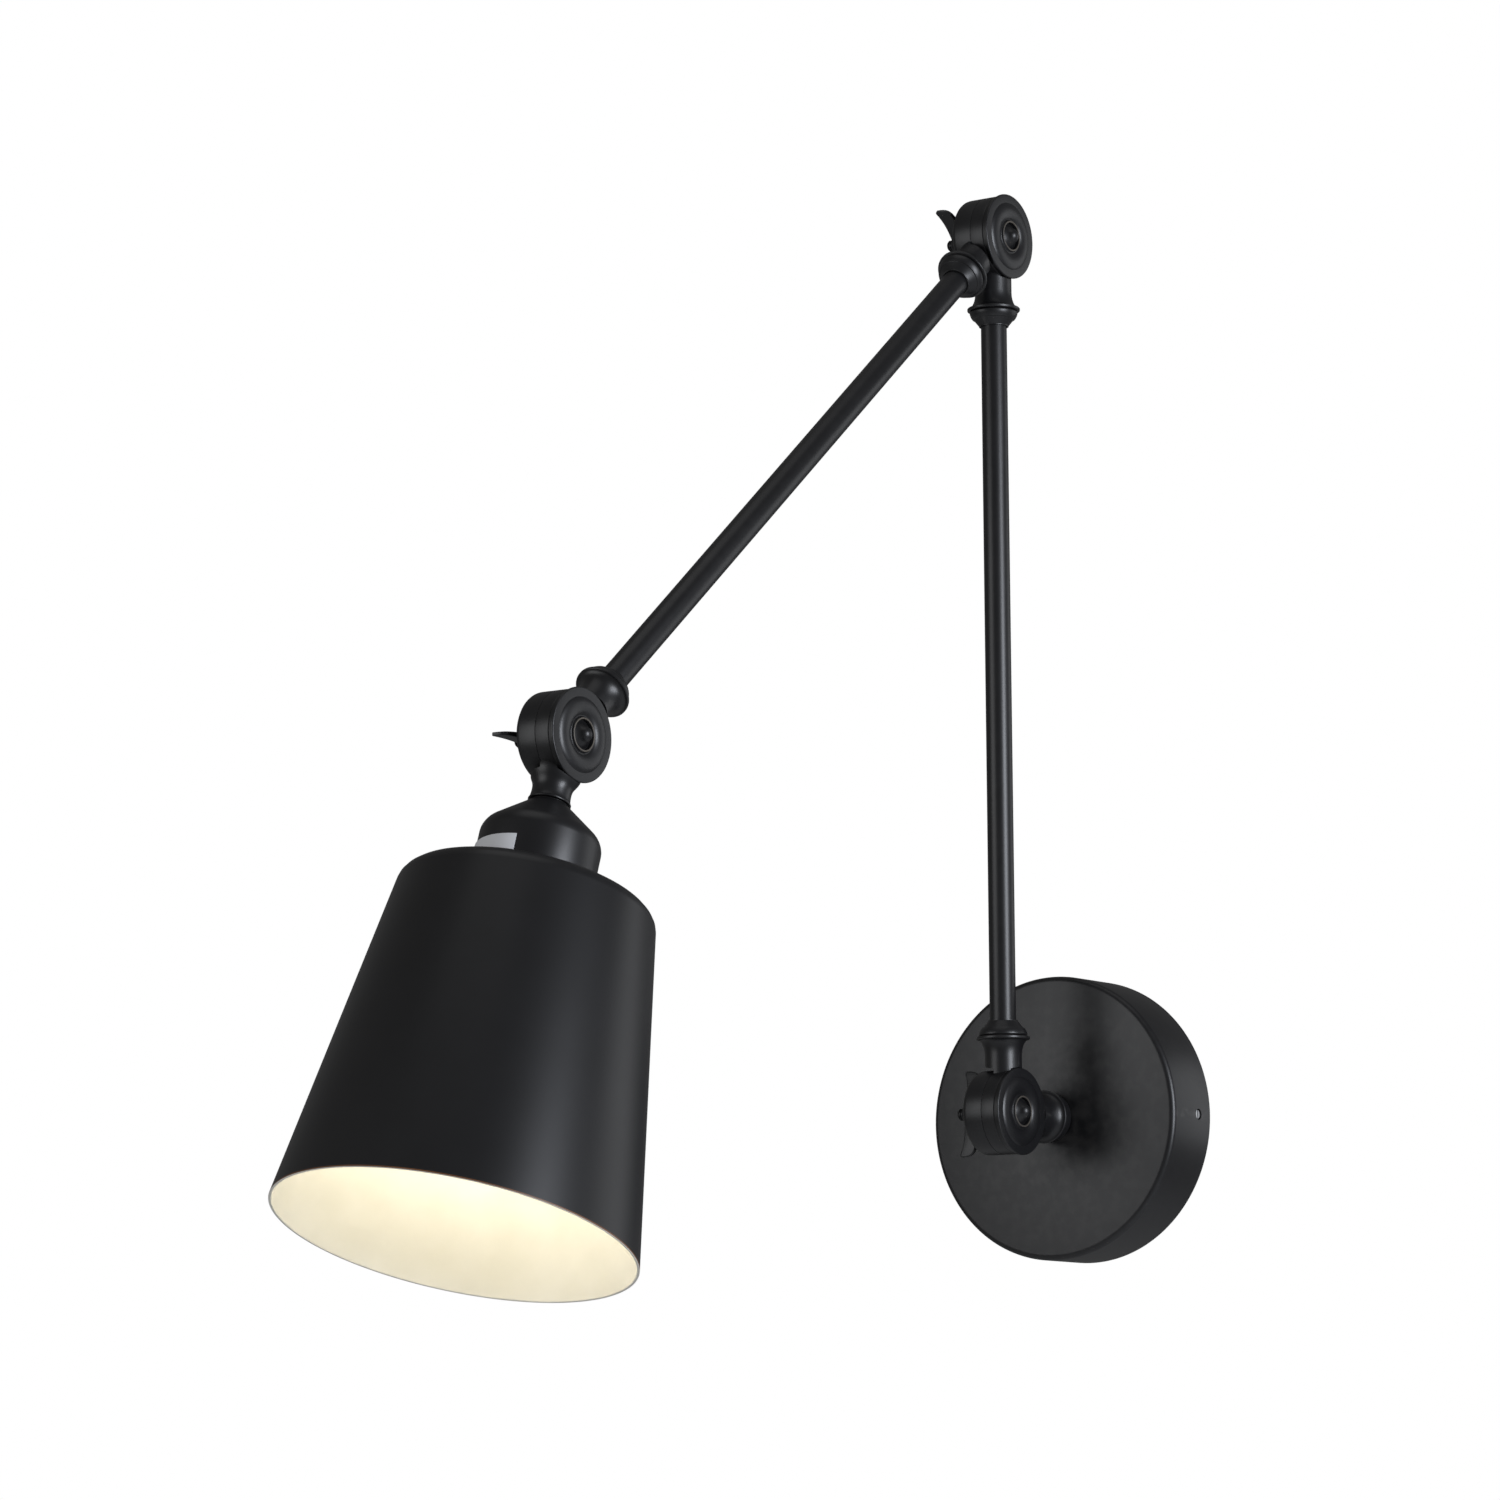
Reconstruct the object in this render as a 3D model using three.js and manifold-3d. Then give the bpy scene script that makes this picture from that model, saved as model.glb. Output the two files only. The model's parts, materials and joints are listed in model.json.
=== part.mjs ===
// Adjustable two-arm wall light: a round canopy, two tube arms on three clamped knuckles, a socket cup
// and a tapered metal shade.
//
// Millimetres, +Z up. The origin is the middle of the mounting strap's back, on the wall plane. The wall
// lies at +Y, the light reaches out towards -Y, and every knuckle turns about an axis along X.

import * as THREE from 'three';
import { mergeVertices } from 'three/addons/utils/BufferGeometryUtils.js';
import Module from 'manifold-3d';

const wasm = await Module();
wasm.setup();

// ---------------------------------------------------------------- driving dimensions

// Clearances
const REST_GAP = 0.3; // between pieces that rest on, screw into or pass through each other
const HINGE_GAP = 0.3; // between the two halves of a knuckle
const NOTCH_GAP = 2; // between a neck and the half that turns under it

// Stored attitude, degrees forward of straight up
const LOWER_ARM_ANGLE = 0.5;
const UPPER_ARM_ANGLE = 130.2;
const HEAD_ANGLE = 161.5;
const CANOPY_NECK_ANGLE = -90; // the wall knuckle's neck points back at the wall
const BASE_WING_ANGLE = -7;
const ELBOW_WING_ANGLE = 47;
const HEAD_WING_ANGLE = 88;

// Layout
const LOWER_ARM_LENGTH = 372.5; // wall pivot to elbow pivot
const UPPER_ARM_LENGTH = 388.5; // elbow pivot to head pivot
const CANOPY_COLLAR_LENGTH = 4.7; // spacer collar between the wall knuckle and the canopy
const CANOPY_COLLAR_RADIUS = 10.4;
const CANOPY_COLLAR_TAPER = 0.4; // how much thinner it is at the canopy

// Canopy and what is inside it
const CANOPY_RADIUS = 60;
const CANOPY_DEPTH = 29.7;
const CANOPY_WALL = 1.2;
const CANOPY_EDGE_ROUND = 2.5;
const STRAP_WIDTH = 22;
const STRAP_THICKNESS = 1.5;
const STRAP_EAR_DEPTH = 14;
const WALL_SLOT_WIDTH = 5;
const WALL_SLOT_LENGTH = 11;
const WALL_SLOT_PITCH = 86;
const SIDE_SCREW_RADIUS = 2;
const SIDE_SCREW_LENGTH = 9;
const SIDE_SCREW_HEIGHT = 9.5; // distance of the side screws from the wall
const SIDE_SCREW_RECESS = 0.5;
const NIPPLE_RADIUS = 5;
const NIPPLE_BORE_RADIUS = 4;
const NIPPLE_TAIL = 9.5; // nipple length inside the canopy
const WASHER_THICKNESS = 1;
const NUT_THICKNESS = 4;
const NUT_FLAT_RADIUS = 8;
const TERMINAL_LENGTH = 24;
const TERMINAL_WIDTH = 16;
const TERMINAL_HEIGHT = 12;
const TERMINAL_START = 12; // distance of the block's inner end from the canopy's middle
const SMALL_SCREW_RADIUS = 1.6;
const SMALL_SCREW_HEAD_RADIUS = 3.2;
const SMALL_SCREW_HEAD_HEIGHT = 2;
const GROUND_SCREW_PLACE = 24;

// Knuckles
const DRUM_RADIUS = 17.6;
const DRUM_REAR_DEPTH = 10; // arm plane to the drum's wing nut side
const DRUM_FRONT_DEPTH = 6.4; // arm plane to the cap's seat
const DRUM_EDGE_ROUND = 2.6;
const DRUM_RIM_WALL = 3.4;
const DRUM_FLOOR = 1.6;
const BOSS_RADIUS = 6;
const CAP_OVERHANG = 0.5; // how far the cap stands past the drum's side
const CAP_THICKNESS = 2.1;
const CAP_EDGE_CHAMFER = 0.5;
const CAP_BEAD_RADIUS = 10.9; // crest of the round bead on the cap's face
const CAP_BEAD_HALF_WIDTH = 3.5;
const CAP_BEAD_HEIGHT = 1.3;
const CAP_LIP_RADIUS = 6.6; // outside of the lip round the bolt's well
const CAP_LIP_HEIGHT = 1;
const CAP_RECESS_RADIUS = 5.2; // well for the bolt head
const CAP_RECESS_DEPTH = 0.9;
const BOLT_RADIUS = 2.5;
const BOLT_END = 22; // arm plane to the threaded end behind the wing nut
const BOLT_FLANGE_RADIUS = 4.6;
const BOLT_FLANGE_THICKNESS = 0.6;
const BOLT_BALL_RADIUS = 3.2;
const BOLT_BALL_RISE = 1.2; // bolt's seat to the middle of its ball
const FRICTION_WASHER_THICKNESS = 0.8;
const NECK_RADIUS = 7.75;
const NECK_REACH = 13.5; // cap's edge to the rim face of a neck
const NECK_STRAIGHT = 5.4; // cap's edge to where a neck starts to flare
const RIM_RADIUS = 11.2;
const RIM_THICKNESS = 1.3;
const TUBE_SEAT_REACH = 3.9; // cap's edge to the bottom of a neck's tube socket
const LAMP_NECK_ROOT_RADIUS = 10;
const LAMP_NECK_WAIST_RADIUS = 7.5;
const LAMP_NECK_FOOT_RADIUS = 8.2;
const LAMP_NECK_REACH = 9.5; // cap's edge to the socket cup
const LAMP_STUB_LENGTH = 12.4; // threaded stub below the lamp neck

// Wing nuts
const SPRING_WASHER_THICKNESS = 1;
const WING_HUB_RADIUS = 5.3;
const WING_HUB_LENGTH = 7;
const WING_REACH = 18.3;
const WING_SWEEP = 8.8; // how far the wing tips stand off the washer
const WING_THICKNESS = 2.8;

// Arm tubes, their turned collars and the flex inside
const TUBE_RADIUS = 5.5;
const TUBE_WALL = 1;
const COLLAR_LENGTH = 6.4;
const COLLAR_BAND_RADIUS = 10.2;
const COLLAR_BAND_LENGTH = 3.2;
const COLLAR_BAND_ROUND = 0.6;
const COLLAR_STEP = 0.4; // how far the taper starts inside the band's end
const FLEX_RADIUS = 1.6;
const FLEX_OFFSET = 2; // sideways, so that the flex passes through its own half of a knuckle
const FLEX_INSET = 11.5; // pivot to the flex's end

// Socket cup, lamp holder and lamp
const CUP_RADIUS = 23;
const CUP_WALL = 1.1;
const CUP_SEAT_RADIUS = 7.4; // flat top that the lamp neck's foot stands on
const CUP_SEAT_THICKNESS = 2.3;
const CUP_LIP = 0.3; // height of the flat top's edge
const CUP_SHOULDER_LENGTH = 13.2; // flat top to the corner where the cone meets the straight wall
const CUP_SHOULDER_ROUND = 3.2; // how far that corner's rounding reaches
const CUP_LENGTH = 37; // lamp neck to the shade's top
const CUP_NUT_FLAT_RADIUS = 7;
const CUP_NUT_THICKNESS = 2.6;
const HOLDER_RADIUS = 17.4;
const HOLDER_WALL = 2.4;
const HOLDER_FLANGE_RADIUS = 20.8;
const HOLDER_FLANGE_THICKNESS = 3;
const HOLDER_SKIRT_LENGTH = 18; // below the shade's top plate
const HOLDER_FLOOR = 6;
const HOLDER_THREAD_LENGTH = 4; // how much of the lamp neck's stub the holder takes
const LAMP_CAP_INSET = 3; // lamp cap's end inside the holder's skirt
const HOLDER_SHOULDER = 5.5; // slope at the top that clears the cup's shoulder
const SHELL_WALL = 0.6;
const LAMP_CAP_RADIUS = 13.2;
const LAMP_CAP_LENGTH = 25;
const BULB_RADIUS = 30;
const BULB_LENGTH = 80;
const BULB_WALL = 0.9;
const LABEL_START = 72; // degrees round the cup
const LABEL_SWEEP = 78;
const LABEL_HEIGHT = 12;
const LABEL_TO_SHADE = 2.4;
const LABEL_THICKNESS = 0.25;

// Shade
const SHADE_TOP_RADIUS = 48;
const SHADE_MOUTH_RADIUS = 68;
const SHADE_HEIGHT = 134;
const SHADE_WALL = 1;
const SHADE_SHOULDER_ROUND = 6.5;
const SHADE_RING_RADIUS = 26;
const SHADE_RING_THICKNESS = 5;

// Facets round a full turn
const LARGE_FACETS = 44;
const CUP_FACETS = 28;
const DRUM_FACETS = 24;
const SMALL_FACETS = 18;
const SCREW_FACETS = 12;

// ---------------------------------------------------------------- worked-out dimensions

const CAP_RADIUS = DRUM_RADIUS + CAP_OVERHANG;
const RIM_FACE = CAP_RADIUS + NECK_REACH;
const NECK_FLARE_START = CAP_RADIUS + NECK_STRAIGHT;
const TUBE_SEAT = CAP_RADIUS + TUBE_SEAT_REACH;
const LAMP_NECK_LENGTH = CAP_RADIUS + LAMP_NECK_REACH;
const COLLAR_START = RIM_FACE + REST_GAP;
const BASE_PIVOT_STANDOFF = CANOPY_DEPTH + REST_GAP + CANOPY_COLLAR_LENGTH + COLLAR_START;
const TUBE_START = TUBE_SEAT + REST_GAP;
const CHAMBER_RADIUS = DRUM_RADIUS - DRUM_RIM_WALL;
const FLEX_HOLE_RADIUS = FLEX_RADIUS + REST_GAP;
const BOLT_HOLE_RADIUS = BOLT_RADIUS + REST_GAP;
const HALF_GAP = HINGE_GAP / 2;
const CAP_SEAT = DRUM_FRONT_DEPTH + REST_GAP;
const CAP_FACE = CAP_SEAT + CAP_THICKNESS;
const CAP_RECESS_FLOOR = CAP_FACE - CAP_RECESS_DEPTH;
const WASHER_SEAT = DRUM_REAR_DEPTH + REST_GAP;
const WING_SEAT = WASHER_SEAT + SPRING_WASHER_THICKNESS + REST_GAP;
const CUP_TOP = LAMP_NECK_LENGTH + REST_GAP;
const CUP_END = CUP_TOP + CUP_LENGTH;
const SHADE_TOP = CUP_END + REST_GAP;
const SHADE_MOUTH = SHADE_TOP + SHADE_HEIGHT;
const HOLDER_TOP = LAMP_NECK_LENGTH + LAMP_STUB_LENGTH - HOLDER_THREAD_LENGTH;
const HOLDER_SEAT = SHADE_TOP - REST_GAP;
const HOLDER_END = SHADE_TOP + HOLDER_SKIRT_LENGTH;
const HOLDER_BORE_RADIUS = HOLDER_RADIUS - HOLDER_WALL;
const HOLDER_FLOOR_FACE = HOLDER_TOP + HOLDER_FLOOR;
const LAMP_CAP_END = HOLDER_END - LAMP_CAP_INSET;
const LAMP_CAP_START = LAMP_CAP_END - LAMP_CAP_LENGTH;
const GLASS_START = LAMP_CAP_END + REST_GAP;

// ---------------------------------------------------------------- geometry helpers

function radians(degrees) {
  return THREE.MathUtils.degToRad(degrees);
}

/** Points on an arc in a profile plane, from one angle to another in degrees. */
function arc(centreA, centreB, radius, fromDegrees, toDegrees, steps) {
  const points = [];
  for (let i = 0; i <= steps; i += 1) {
    const turn = radians(fromDegrees + ((toDegrees - fromDegrees) * i) / steps);
    points.push([centreA + radius * Math.cos(turn), centreB + radius * Math.sin(turn)]);
  }
  return points;
}

/** Points round a softened corner between two others; reach is how far from it the softening starts. */
function rounded(start, corner, end, reach) {
  const [before, middle, after] = [start, corner, end].map(([a, b]) => new THREE.Vector2(a, b));
  const curve = new THREE.QuadraticBezierCurve(
    middle.clone().add(before.sub(middle).setLength(reach)),
    middle,
    middle.clone().add(after.sub(middle).setLength(reach)),
  );
  return curve.getPoints(4).map((point) => [point.x, point.y]);
}

/** Turns every face round if the closed geometry is inside out. */
function facingOut(geometry) {
  const place = geometry.attributes.position;
  const index = geometry.index.array;
  const a = new THREE.Vector3();
  const b = new THREE.Vector3();
  const c = new THREE.Vector3();
  let volume = 0;
  for (let i = 0; i < index.length; i += 3) {
    a.fromBufferAttribute(place, index[i]);
    b.fromBufferAttribute(place, index[i + 1]);
    c.fromBufferAttribute(place, index[i + 2]);
    volume += a.dot(b.cross(c));
  }
  if (volume < 0) {
    for (let i = 0; i < index.length; i += 3) {
      [index[i], index[i + 1]] = [index[i + 1], index[i]];
    }
  }
  return geometry;
}

/** A solid turned from a closed outline of [radius, height] pairs, standing along Z or lying along X. */
function turned(outline, facets, axis = 'z') {
  const points = outline.map(([radius, height]) => new THREE.Vector2(radius, height));
  const onAxis = outline[0][0] === 0 && outline[outline.length - 1][0] === 0;
  if (!onAxis) {
    points.push(points[0].clone());
  }
  const geometry = new THREE.LatheGeometry(points, facets);
  if (axis === 'x') {
    geometry.rotateZ(-Math.PI / 2);
  } else {
    geometry.rotateX(Math.PI / 2);
  }
  return facingOut(geometry);
}

/** A plain rod of one radius between two heights, along Z or X. */
function rod(radius, from, to, facets, axis = 'z') {
  return turned([[0, from], [radius, from], [radius, to], [0, to]], facets, axis);
}

/** A box between two corners. */
function block(low, high) {
  const size = high.map((value, i) => value - low[i]);
  const middle = high.map((value, i) => (value + low[i]) / 2);
  return new THREE.BoxGeometry(...size).translate(...middle);
}

/** A round section swept along a curve. */
function swept(curve, radius, steps) {
  const section = new THREE.Shape();
  section.absarc(0, 0, radius, 0, 2 * Math.PI, false);
  const settings = { steps, extrudePath: curve, curveSegments: 4, bevelEnabled: false };
  return new THREE.ExtrudeGeometry(section, settings);
}

/** Merges shared corners and drops the collapsed faces at the poles of a turned shape. */
function welded(geometry) {
  const bare = geometry.clone();
  bare.deleteAttribute('normal');
  bare.deleteAttribute('uv');
  const merged = mergeVertices(bare, 1e-4);
  const index = merged.index.array;
  const kept = [];
  for (let i = 0; i < index.length; i += 3) {
    const [a, b, c] = [index[i], index[i + 1], index[i + 2]];
    if (a !== b && b !== c && c !== a) {
      kept.push(a, b, c);
    }
  }
  merged.setIndex(kept);
  return merged;
}

function toSolid(geometry) {
  const merged = facingOut(welded(geometry));
  return new wasm.Manifold(new wasm.Mesh({
    numProp: 3,
    vertProperties: new Float32Array(merged.attributes.position.array),
    triVerts: new Uint32Array(merged.index.array),
  }));
}

function toGeometry(solid) {
  const mesh = solid.getMesh();
  const geometry = new THREE.BufferGeometry();
  geometry.setAttribute('position', new THREE.BufferAttribute(new Float32Array(mesh.vertProperties), 3));
  geometry.setIndex(new THREE.BufferAttribute(new Uint32Array(mesh.triVerts), 1));
  geometry.computeVertexNormals();
  return geometry;
}

/** The first geometry with the others taken away. */
function cut(body, ...tools) {
  return toGeometry(tools.reduce((solid, tool) => solid.subtract(toSolid(tool)), toSolid(body)));
}

/** All the geometries joined into one body. */
function joined(first, ...others) {
  return toGeometry(others.reduce((solid, other) => solid.add(toSolid(other)), toSolid(first)));
}

// ---------------------------------------------------------------- finishes

const FINISHES = {
  blackPaint: { color: 0x1c1c1e, roughness: 0.5, metalness: 0.3 },
  steel: { color: 0xa8a9ab, roughness: 0.4, metalness: 1 },
  brass: { color: 0xc09a4a, roughness: 0.35, metalness: 1 },
  fibre: { color: 0x6b4a33, roughness: 0.9, metalness: 0 },
  porcelain: { color: 0xe8e6df, roughness: 0.3, metalness: 0 },
  clearPlastic: { color: 0xd9d9d2, roughness: 0.4, metalness: 0 },
  flexSheath: { color: 0x2a2a2a, roughness: 0.6, metalness: 0 },
  lampCap: { color: 0xc4c5c7, roughness: 0.3, metalness: 1 },
  frostedGlass: { color: 0xfff6dc, roughness: 0.5, metalness: 0 },
  labelFilm: { color: 0xf4f4f2, roughness: 0.5, metalness: 0 },
};

function addPiece(group, name, geometry, finish) {
  const mesh = new THREE.Mesh(geometry, new THREE.MeshStandardMaterial(FINISHES[finish]));
  mesh.name = name;
  group.add(mesh);
  return mesh;
}

/** A group at a hinge pivot whose +Z runs along an arm, so many degrees forward of straight up. */
function armFrame(parent, pivot, angle) {
  const frame = new THREE.Group();
  frame.position.copy(pivot);
  frame.rotation.x = radians(angle);
  parent.add(frame);
  return frame;
}

/** The direction of an arm that leans so many degrees forward of straight up. */
function armDirection(angle) {
  return new THREE.Vector3(0, -Math.sin(radians(angle)), Math.cos(radians(angle)));
}

// ---------------------------------------------------------------- knuckles

/** The rear half drum, on the wing nut side, before its neck is added. */
function rearDrum() {
  const inner = DRUM_RADIUS - DRUM_EDGE_ROUND;
  return turned([
    [BOLT_HOLE_RADIUS, -DRUM_REAR_DEPTH],
    ...arc(inner, DRUM_EDGE_ROUND - DRUM_REAR_DEPTH, DRUM_EDGE_ROUND, -90, 0, 4),
    [DRUM_RADIUS, -HALF_GAP],
    [BOLT_HOLE_RADIUS, -HALF_GAP],
  ], DRUM_FACETS, 'x');
}

/** The front half drum, on the cap side, before its neck is added. */
function frontDrum() {
  const chamfer = 0.5;
  return turned([
    [BOLT_HOLE_RADIUS, HALF_GAP],
    [DRUM_RADIUS, HALF_GAP],
    [DRUM_RADIUS, DRUM_FRONT_DEPTH - chamfer],
    [DRUM_RADIUS - chamfer, DRUM_FRONT_DEPTH],
    [BOLT_HOLE_RADIUS, DRUM_FRONT_DEPTH],
  ], DRUM_FACETS, 'x');
}

/** The outline of a neck that flares into a thin rim, from inside the drum to the rim face. */
function rimNeckOutline() {
  const root = CHAMBER_RADIUS - 1;
  const flareEnd = RIM_FACE - RIM_THICKNESS;
  const flare = [];
  const steps = 5;
  for (let i = 0; i <= steps; i += 1) {
    const turn = (Math.PI / 2) * (i / steps);
    const radius = NECK_RADIUS + (RIM_RADIUS - NECK_RADIUS) * (1 - Math.cos(turn));
    flare.push([radius, NECK_FLARE_START + (flareEnd - NECK_FLARE_START) * Math.sin(turn)]);
  }
  return [[0, root], [NECK_RADIUS, root], ...flare, [RIM_RADIUS, RIM_FACE], [0, RIM_FACE]];
}

/** The outline of the lamp neck: waisted, then a threaded stub that the cup and holder hang on. */
function lampNeckOutline() {
  const root = CHAMBER_RADIUS - 1;
  const waist = (CAP_RADIUS + LAMP_NECK_LENGTH) / 2;
  const easing = 2.6; // the waist's length each way
  const stubEnd = LAMP_NECK_LENGTH + LAMP_STUB_LENGTH;
  return [
    [0, root],
    [LAMP_NECK_ROOT_RADIUS, root],
    [LAMP_NECK_ROOT_RADIUS, DRUM_RADIUS - easing],
    [LAMP_NECK_WAIST_RADIUS + 0.6, waist - easing],
    [LAMP_NECK_WAIST_RADIUS, waist],
    [LAMP_NECK_WAIST_RADIUS + 0.1, waist + easing / 2],
    [LAMP_NECK_FOOT_RADIUS, LAMP_NECK_LENGTH],
    [NIPPLE_RADIUS, LAMP_NECK_LENGTH],
    [NIPPLE_RADIUS, stubEnd],
    [0, stubEnd],
  ];
}

/**
 * One half of a knuckle with its neck along +Z. The side is -1 for the rear half and +1 for the front
 * half. The neck is as wide as both halves, so it is notched over the other half.
 */
function knuckleHalf(side, neckOutline, ...neckBores) {
  const drum = side < 0 ? rearDrum() : frontDrum();
  const floor = side < 0 ? DRUM_REAR_DEPTH - DRUM_FLOOR : DRUM_FRONT_DEPTH - DRUM_FLOOR;
  const neck = turned(neckOutline, SMALL_FACETS);
  const otherRadius = (side < 0 ? CAP_RADIUS : DRUM_RADIUS) + NOTCH_GAP;
  const farSide = 2 * DRUM_RADIUS;
  const notch = rod(otherRadius, side * HALF_GAP, -side * farSide, DRUM_FACETS, 'x');
  const capRoom = rod(CAP_RADIUS + REST_GAP, DRUM_FRONT_DEPTH, farSide, DRUM_FACETS, 'x');
  const chamber = turned([
    [BOSS_RADIUS, side * (HALF_GAP - 1)],
    [CHAMBER_RADIUS, side * (HALF_GAP - 1)],
    [CHAMBER_RADIUS, side * floor],
    [BOSS_RADIUS, side * floor],
  ], DRUM_FACETS, 'x');
  const flexHole = rod(FLEX_HOLE_RADIUS, BOSS_RADIUS + 1, TUBE_SEAT + 1, SCREW_FACETS);
  flexHole.translate(side * FLEX_OFFSET, 0, 0);
  return cut(joined(drum, cut(neck, notch, capRoom)), chamber, flexHole, ...neckBores);
}

/** A half whose neck takes a tube or nipple of the given radius in a socket. */
function socketHalf(side, radius) {
  const socket = rod(radius + REST_GAP, TUBE_SEAT, RIM_FACE + 1, SMALL_FACETS);
  return knuckleHalf(side, rimNeckOutline(), socket);
}

/** The front half of the head knuckle, whose neck carries the cup and the lamp holder. */
function lampHalf() {
  const stubEnd = LAMP_NECK_LENGTH + LAMP_STUB_LENGTH;
  const bore = rod(NIPPLE_BORE_RADIUS, TUBE_SEAT, stubEnd + 1, SMALL_FACETS);
  return knuckleHalf(1, lampNeckOutline(), bore);
}

/** Takes the friction washer's recess out of a front half's boss. */
function recessed(frontHalf) {
  const depth = HALF_GAP + FRICTION_WASHER_THICKNESS + REST_GAP;
  return cut(frontHalf, rod(BOSS_RADIUS + 0.5, -1, depth, DRUM_FACETS, 'x'));
}

function frictionWasher() {
  const outer = BOSS_RADIUS - REST_GAP;
  return turned([
    [BOLT_HOLE_RADIUS, HALF_GAP],
    [outer, HALF_GAP],
    [outer, HALF_GAP + FRICTION_WASHER_THICKNESS],
    [BOLT_HOLE_RADIUS, HALF_GAP + FRICTION_WASHER_THICKNESS],
  ], SMALL_FACETS, 'x');
}

/** The turned plate on the drum's front: flat edge, round bead, and a lip round the bolt's well. */
function capPlate() {
  const bead = [];
  const steps = 5;
  for (let i = 0; i <= steps; i += 1) {
    const across = 1 - (2 * i) / steps;
    const radius = CAP_BEAD_RADIUS + CAP_BEAD_HALF_WIDTH * across;
    bead.push([radius, CAP_FACE + CAP_BEAD_HEIGHT * (1 - across * across)]);
  }
  const lipRound = 0.4;
  return turned([
    [BOLT_HOLE_RADIUS, CAP_SEAT],
    [CAP_RADIUS, CAP_SEAT],
    [CAP_RADIUS, CAP_FACE - CAP_EDGE_CHAMFER],
    [CAP_RADIUS - CAP_EDGE_CHAMFER, CAP_FACE],
    ...bead,
    [CAP_LIP_RADIUS, CAP_FACE + CAP_LIP_HEIGHT - lipRound],
    [CAP_LIP_RADIUS - lipRound, CAP_FACE + CAP_LIP_HEIGHT],
    [CAP_RECESS_RADIUS, CAP_FACE + CAP_LIP_HEIGHT],
    [CAP_RECESS_RADIUS, CAP_RECESS_FLOOR],
    [BOLT_HOLE_RADIUS, CAP_RECESS_FLOOR],
  ], DRUM_FACETS, 'x');
}

/** The bolt through a knuckle: a ball on a thin flange, and a plain shank out through the wing nut. */
function pivotBolt() {
  const seat = CAP_RECESS_FLOOR + REST_GAP;
  const ball = arc(0, seat + BOLT_BALL_RISE, BOLT_BALL_RADIUS, -10, 90, 5);
  ball[ball.length - 1][0] = 0;
  return turned([
    [0, -BOLT_END],
    [BOLT_RADIUS - 0.5, -BOLT_END],
    [BOLT_RADIUS, 0.5 - BOLT_END],
    [BOLT_RADIUS, seat],
    [BOLT_FLANGE_RADIUS, seat],
    [BOLT_FLANGE_RADIUS, seat + BOLT_FLANGE_THICKNESS],
    ...ball,
  ], SCREW_FACETS, 'x');
}

function springWasher() {
  return turned([
    [BOLT_HOLE_RADIUS, -WASHER_SEAT],
    [WING_HUB_RADIUS, -WASHER_SEAT],
    [WING_HUB_RADIUS, -WASHER_SEAT - SPRING_WASHER_THICKNESS],
    [BOLT_HOLE_RADIUS, -WASHER_SEAT - SPRING_WASHER_THICKNESS],
  ], SMALL_FACETS, 'x');
}

/** One horn of a wing nut, in the plane through the bolt's axis, pointing along +Z. */
function wing() {
  const outline = new THREE.Shape();
  const root = BOLT_HOLE_RADIUS + 0.7;
  const front = 0.6; // how far the blade stands off the washer
  outline.moveTo(front, root);
  outline.bezierCurveTo(front, 0.93 * WING_REACH, front + 1, WING_REACH, WING_SWEEP, WING_REACH);
  outline.quadraticCurveTo(0.7 * WING_SWEEP, 0.57 * WING_REACH, WING_HUB_LENGTH - 0.1, root);
  outline.closePath();
  const settings = { depth: WING_THICKNESS, curveSegments: 8, bevelEnabled: false };
  const blade = new THREE.ExtrudeGeometry(outline, settings);
  blade.translate(0, 0, -WING_THICKNESS / 2);
  // The outline's first axis leads away from the drum (-X) and its second leads out along +Z.
  blade.rotateX(Math.PI / 2);
  blade.rotateZ(Math.PI);
  return blade.translate(-WING_SEAT, 0, 0);
}

/** A wing nut with its two horns along Z. */
function wingNut() {
  const tip = WING_HUB_RADIUS - 1.1;
  const hub = turned([
    [BOLT_HOLE_RADIUS, -WING_SEAT],
    [WING_HUB_RADIUS, -WING_SEAT],
    [WING_HUB_RADIUS, -WING_SEAT - 1.4],
    [tip, -WING_SEAT - WING_HUB_LENGTH],
    [BOLT_HOLE_RADIUS, -WING_SEAT - WING_HUB_LENGTH],
  ], SMALL_FACETS, 'x');
  const upper = wing();
  const lower = wing().rotateX(Math.PI);
  return joined(hub, upper, lower);
}

// ---------------------------------------------------------------- arms

/** The turned ring round an arm tube next to a knuckle's rim: a rounded band, then a taper to the tube. */
function tubeCollar() {
  const bore = TUBE_RADIUS + REST_GAP;
  const bandEnd = COLLAR_START + COLLAR_BAND_LENGTH;
  const foot = bore + 0.5;
  return turned([
    [bore, COLLAR_START],
    [COLLAR_BAND_RADIUS - COLLAR_BAND_ROUND, COLLAR_START],
    [COLLAR_BAND_RADIUS, COLLAR_START + COLLAR_BAND_ROUND],
    [COLLAR_BAND_RADIUS - COLLAR_BAND_ROUND, bandEnd - COLLAR_BAND_ROUND],
    [COLLAR_BAND_RADIUS - 2 * COLLAR_BAND_ROUND, bandEnd],
    [COLLAR_BAND_RADIUS - 2 * COLLAR_BAND_ROUND - COLLAR_STEP, bandEnd],
    [foot, COLLAR_START + COLLAR_LENGTH - 0.3],
    [foot, COLLAR_START + COLLAR_LENGTH],
    [bore, COLLAR_START + COLLAR_LENGTH],
  ], SMALL_FACETS);
}

function armTube(length) {
  const inner = TUBE_RADIUS - TUBE_WALL;
  const end = length - TUBE_START;
  return turned([
    [inner, TUBE_START],
    [TUBE_RADIUS, TUBE_START],
    [TUBE_RADIUS, end],
    [inner, end],
  ], SMALL_FACETS);
}

/** The geometry of a piece made for one end of an arm, moved to the far end and turned to face it. */
function atFarEnd(geometry, length) {
  return geometry.rotateX(Math.PI).translate(0, 0, length);
}

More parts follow.
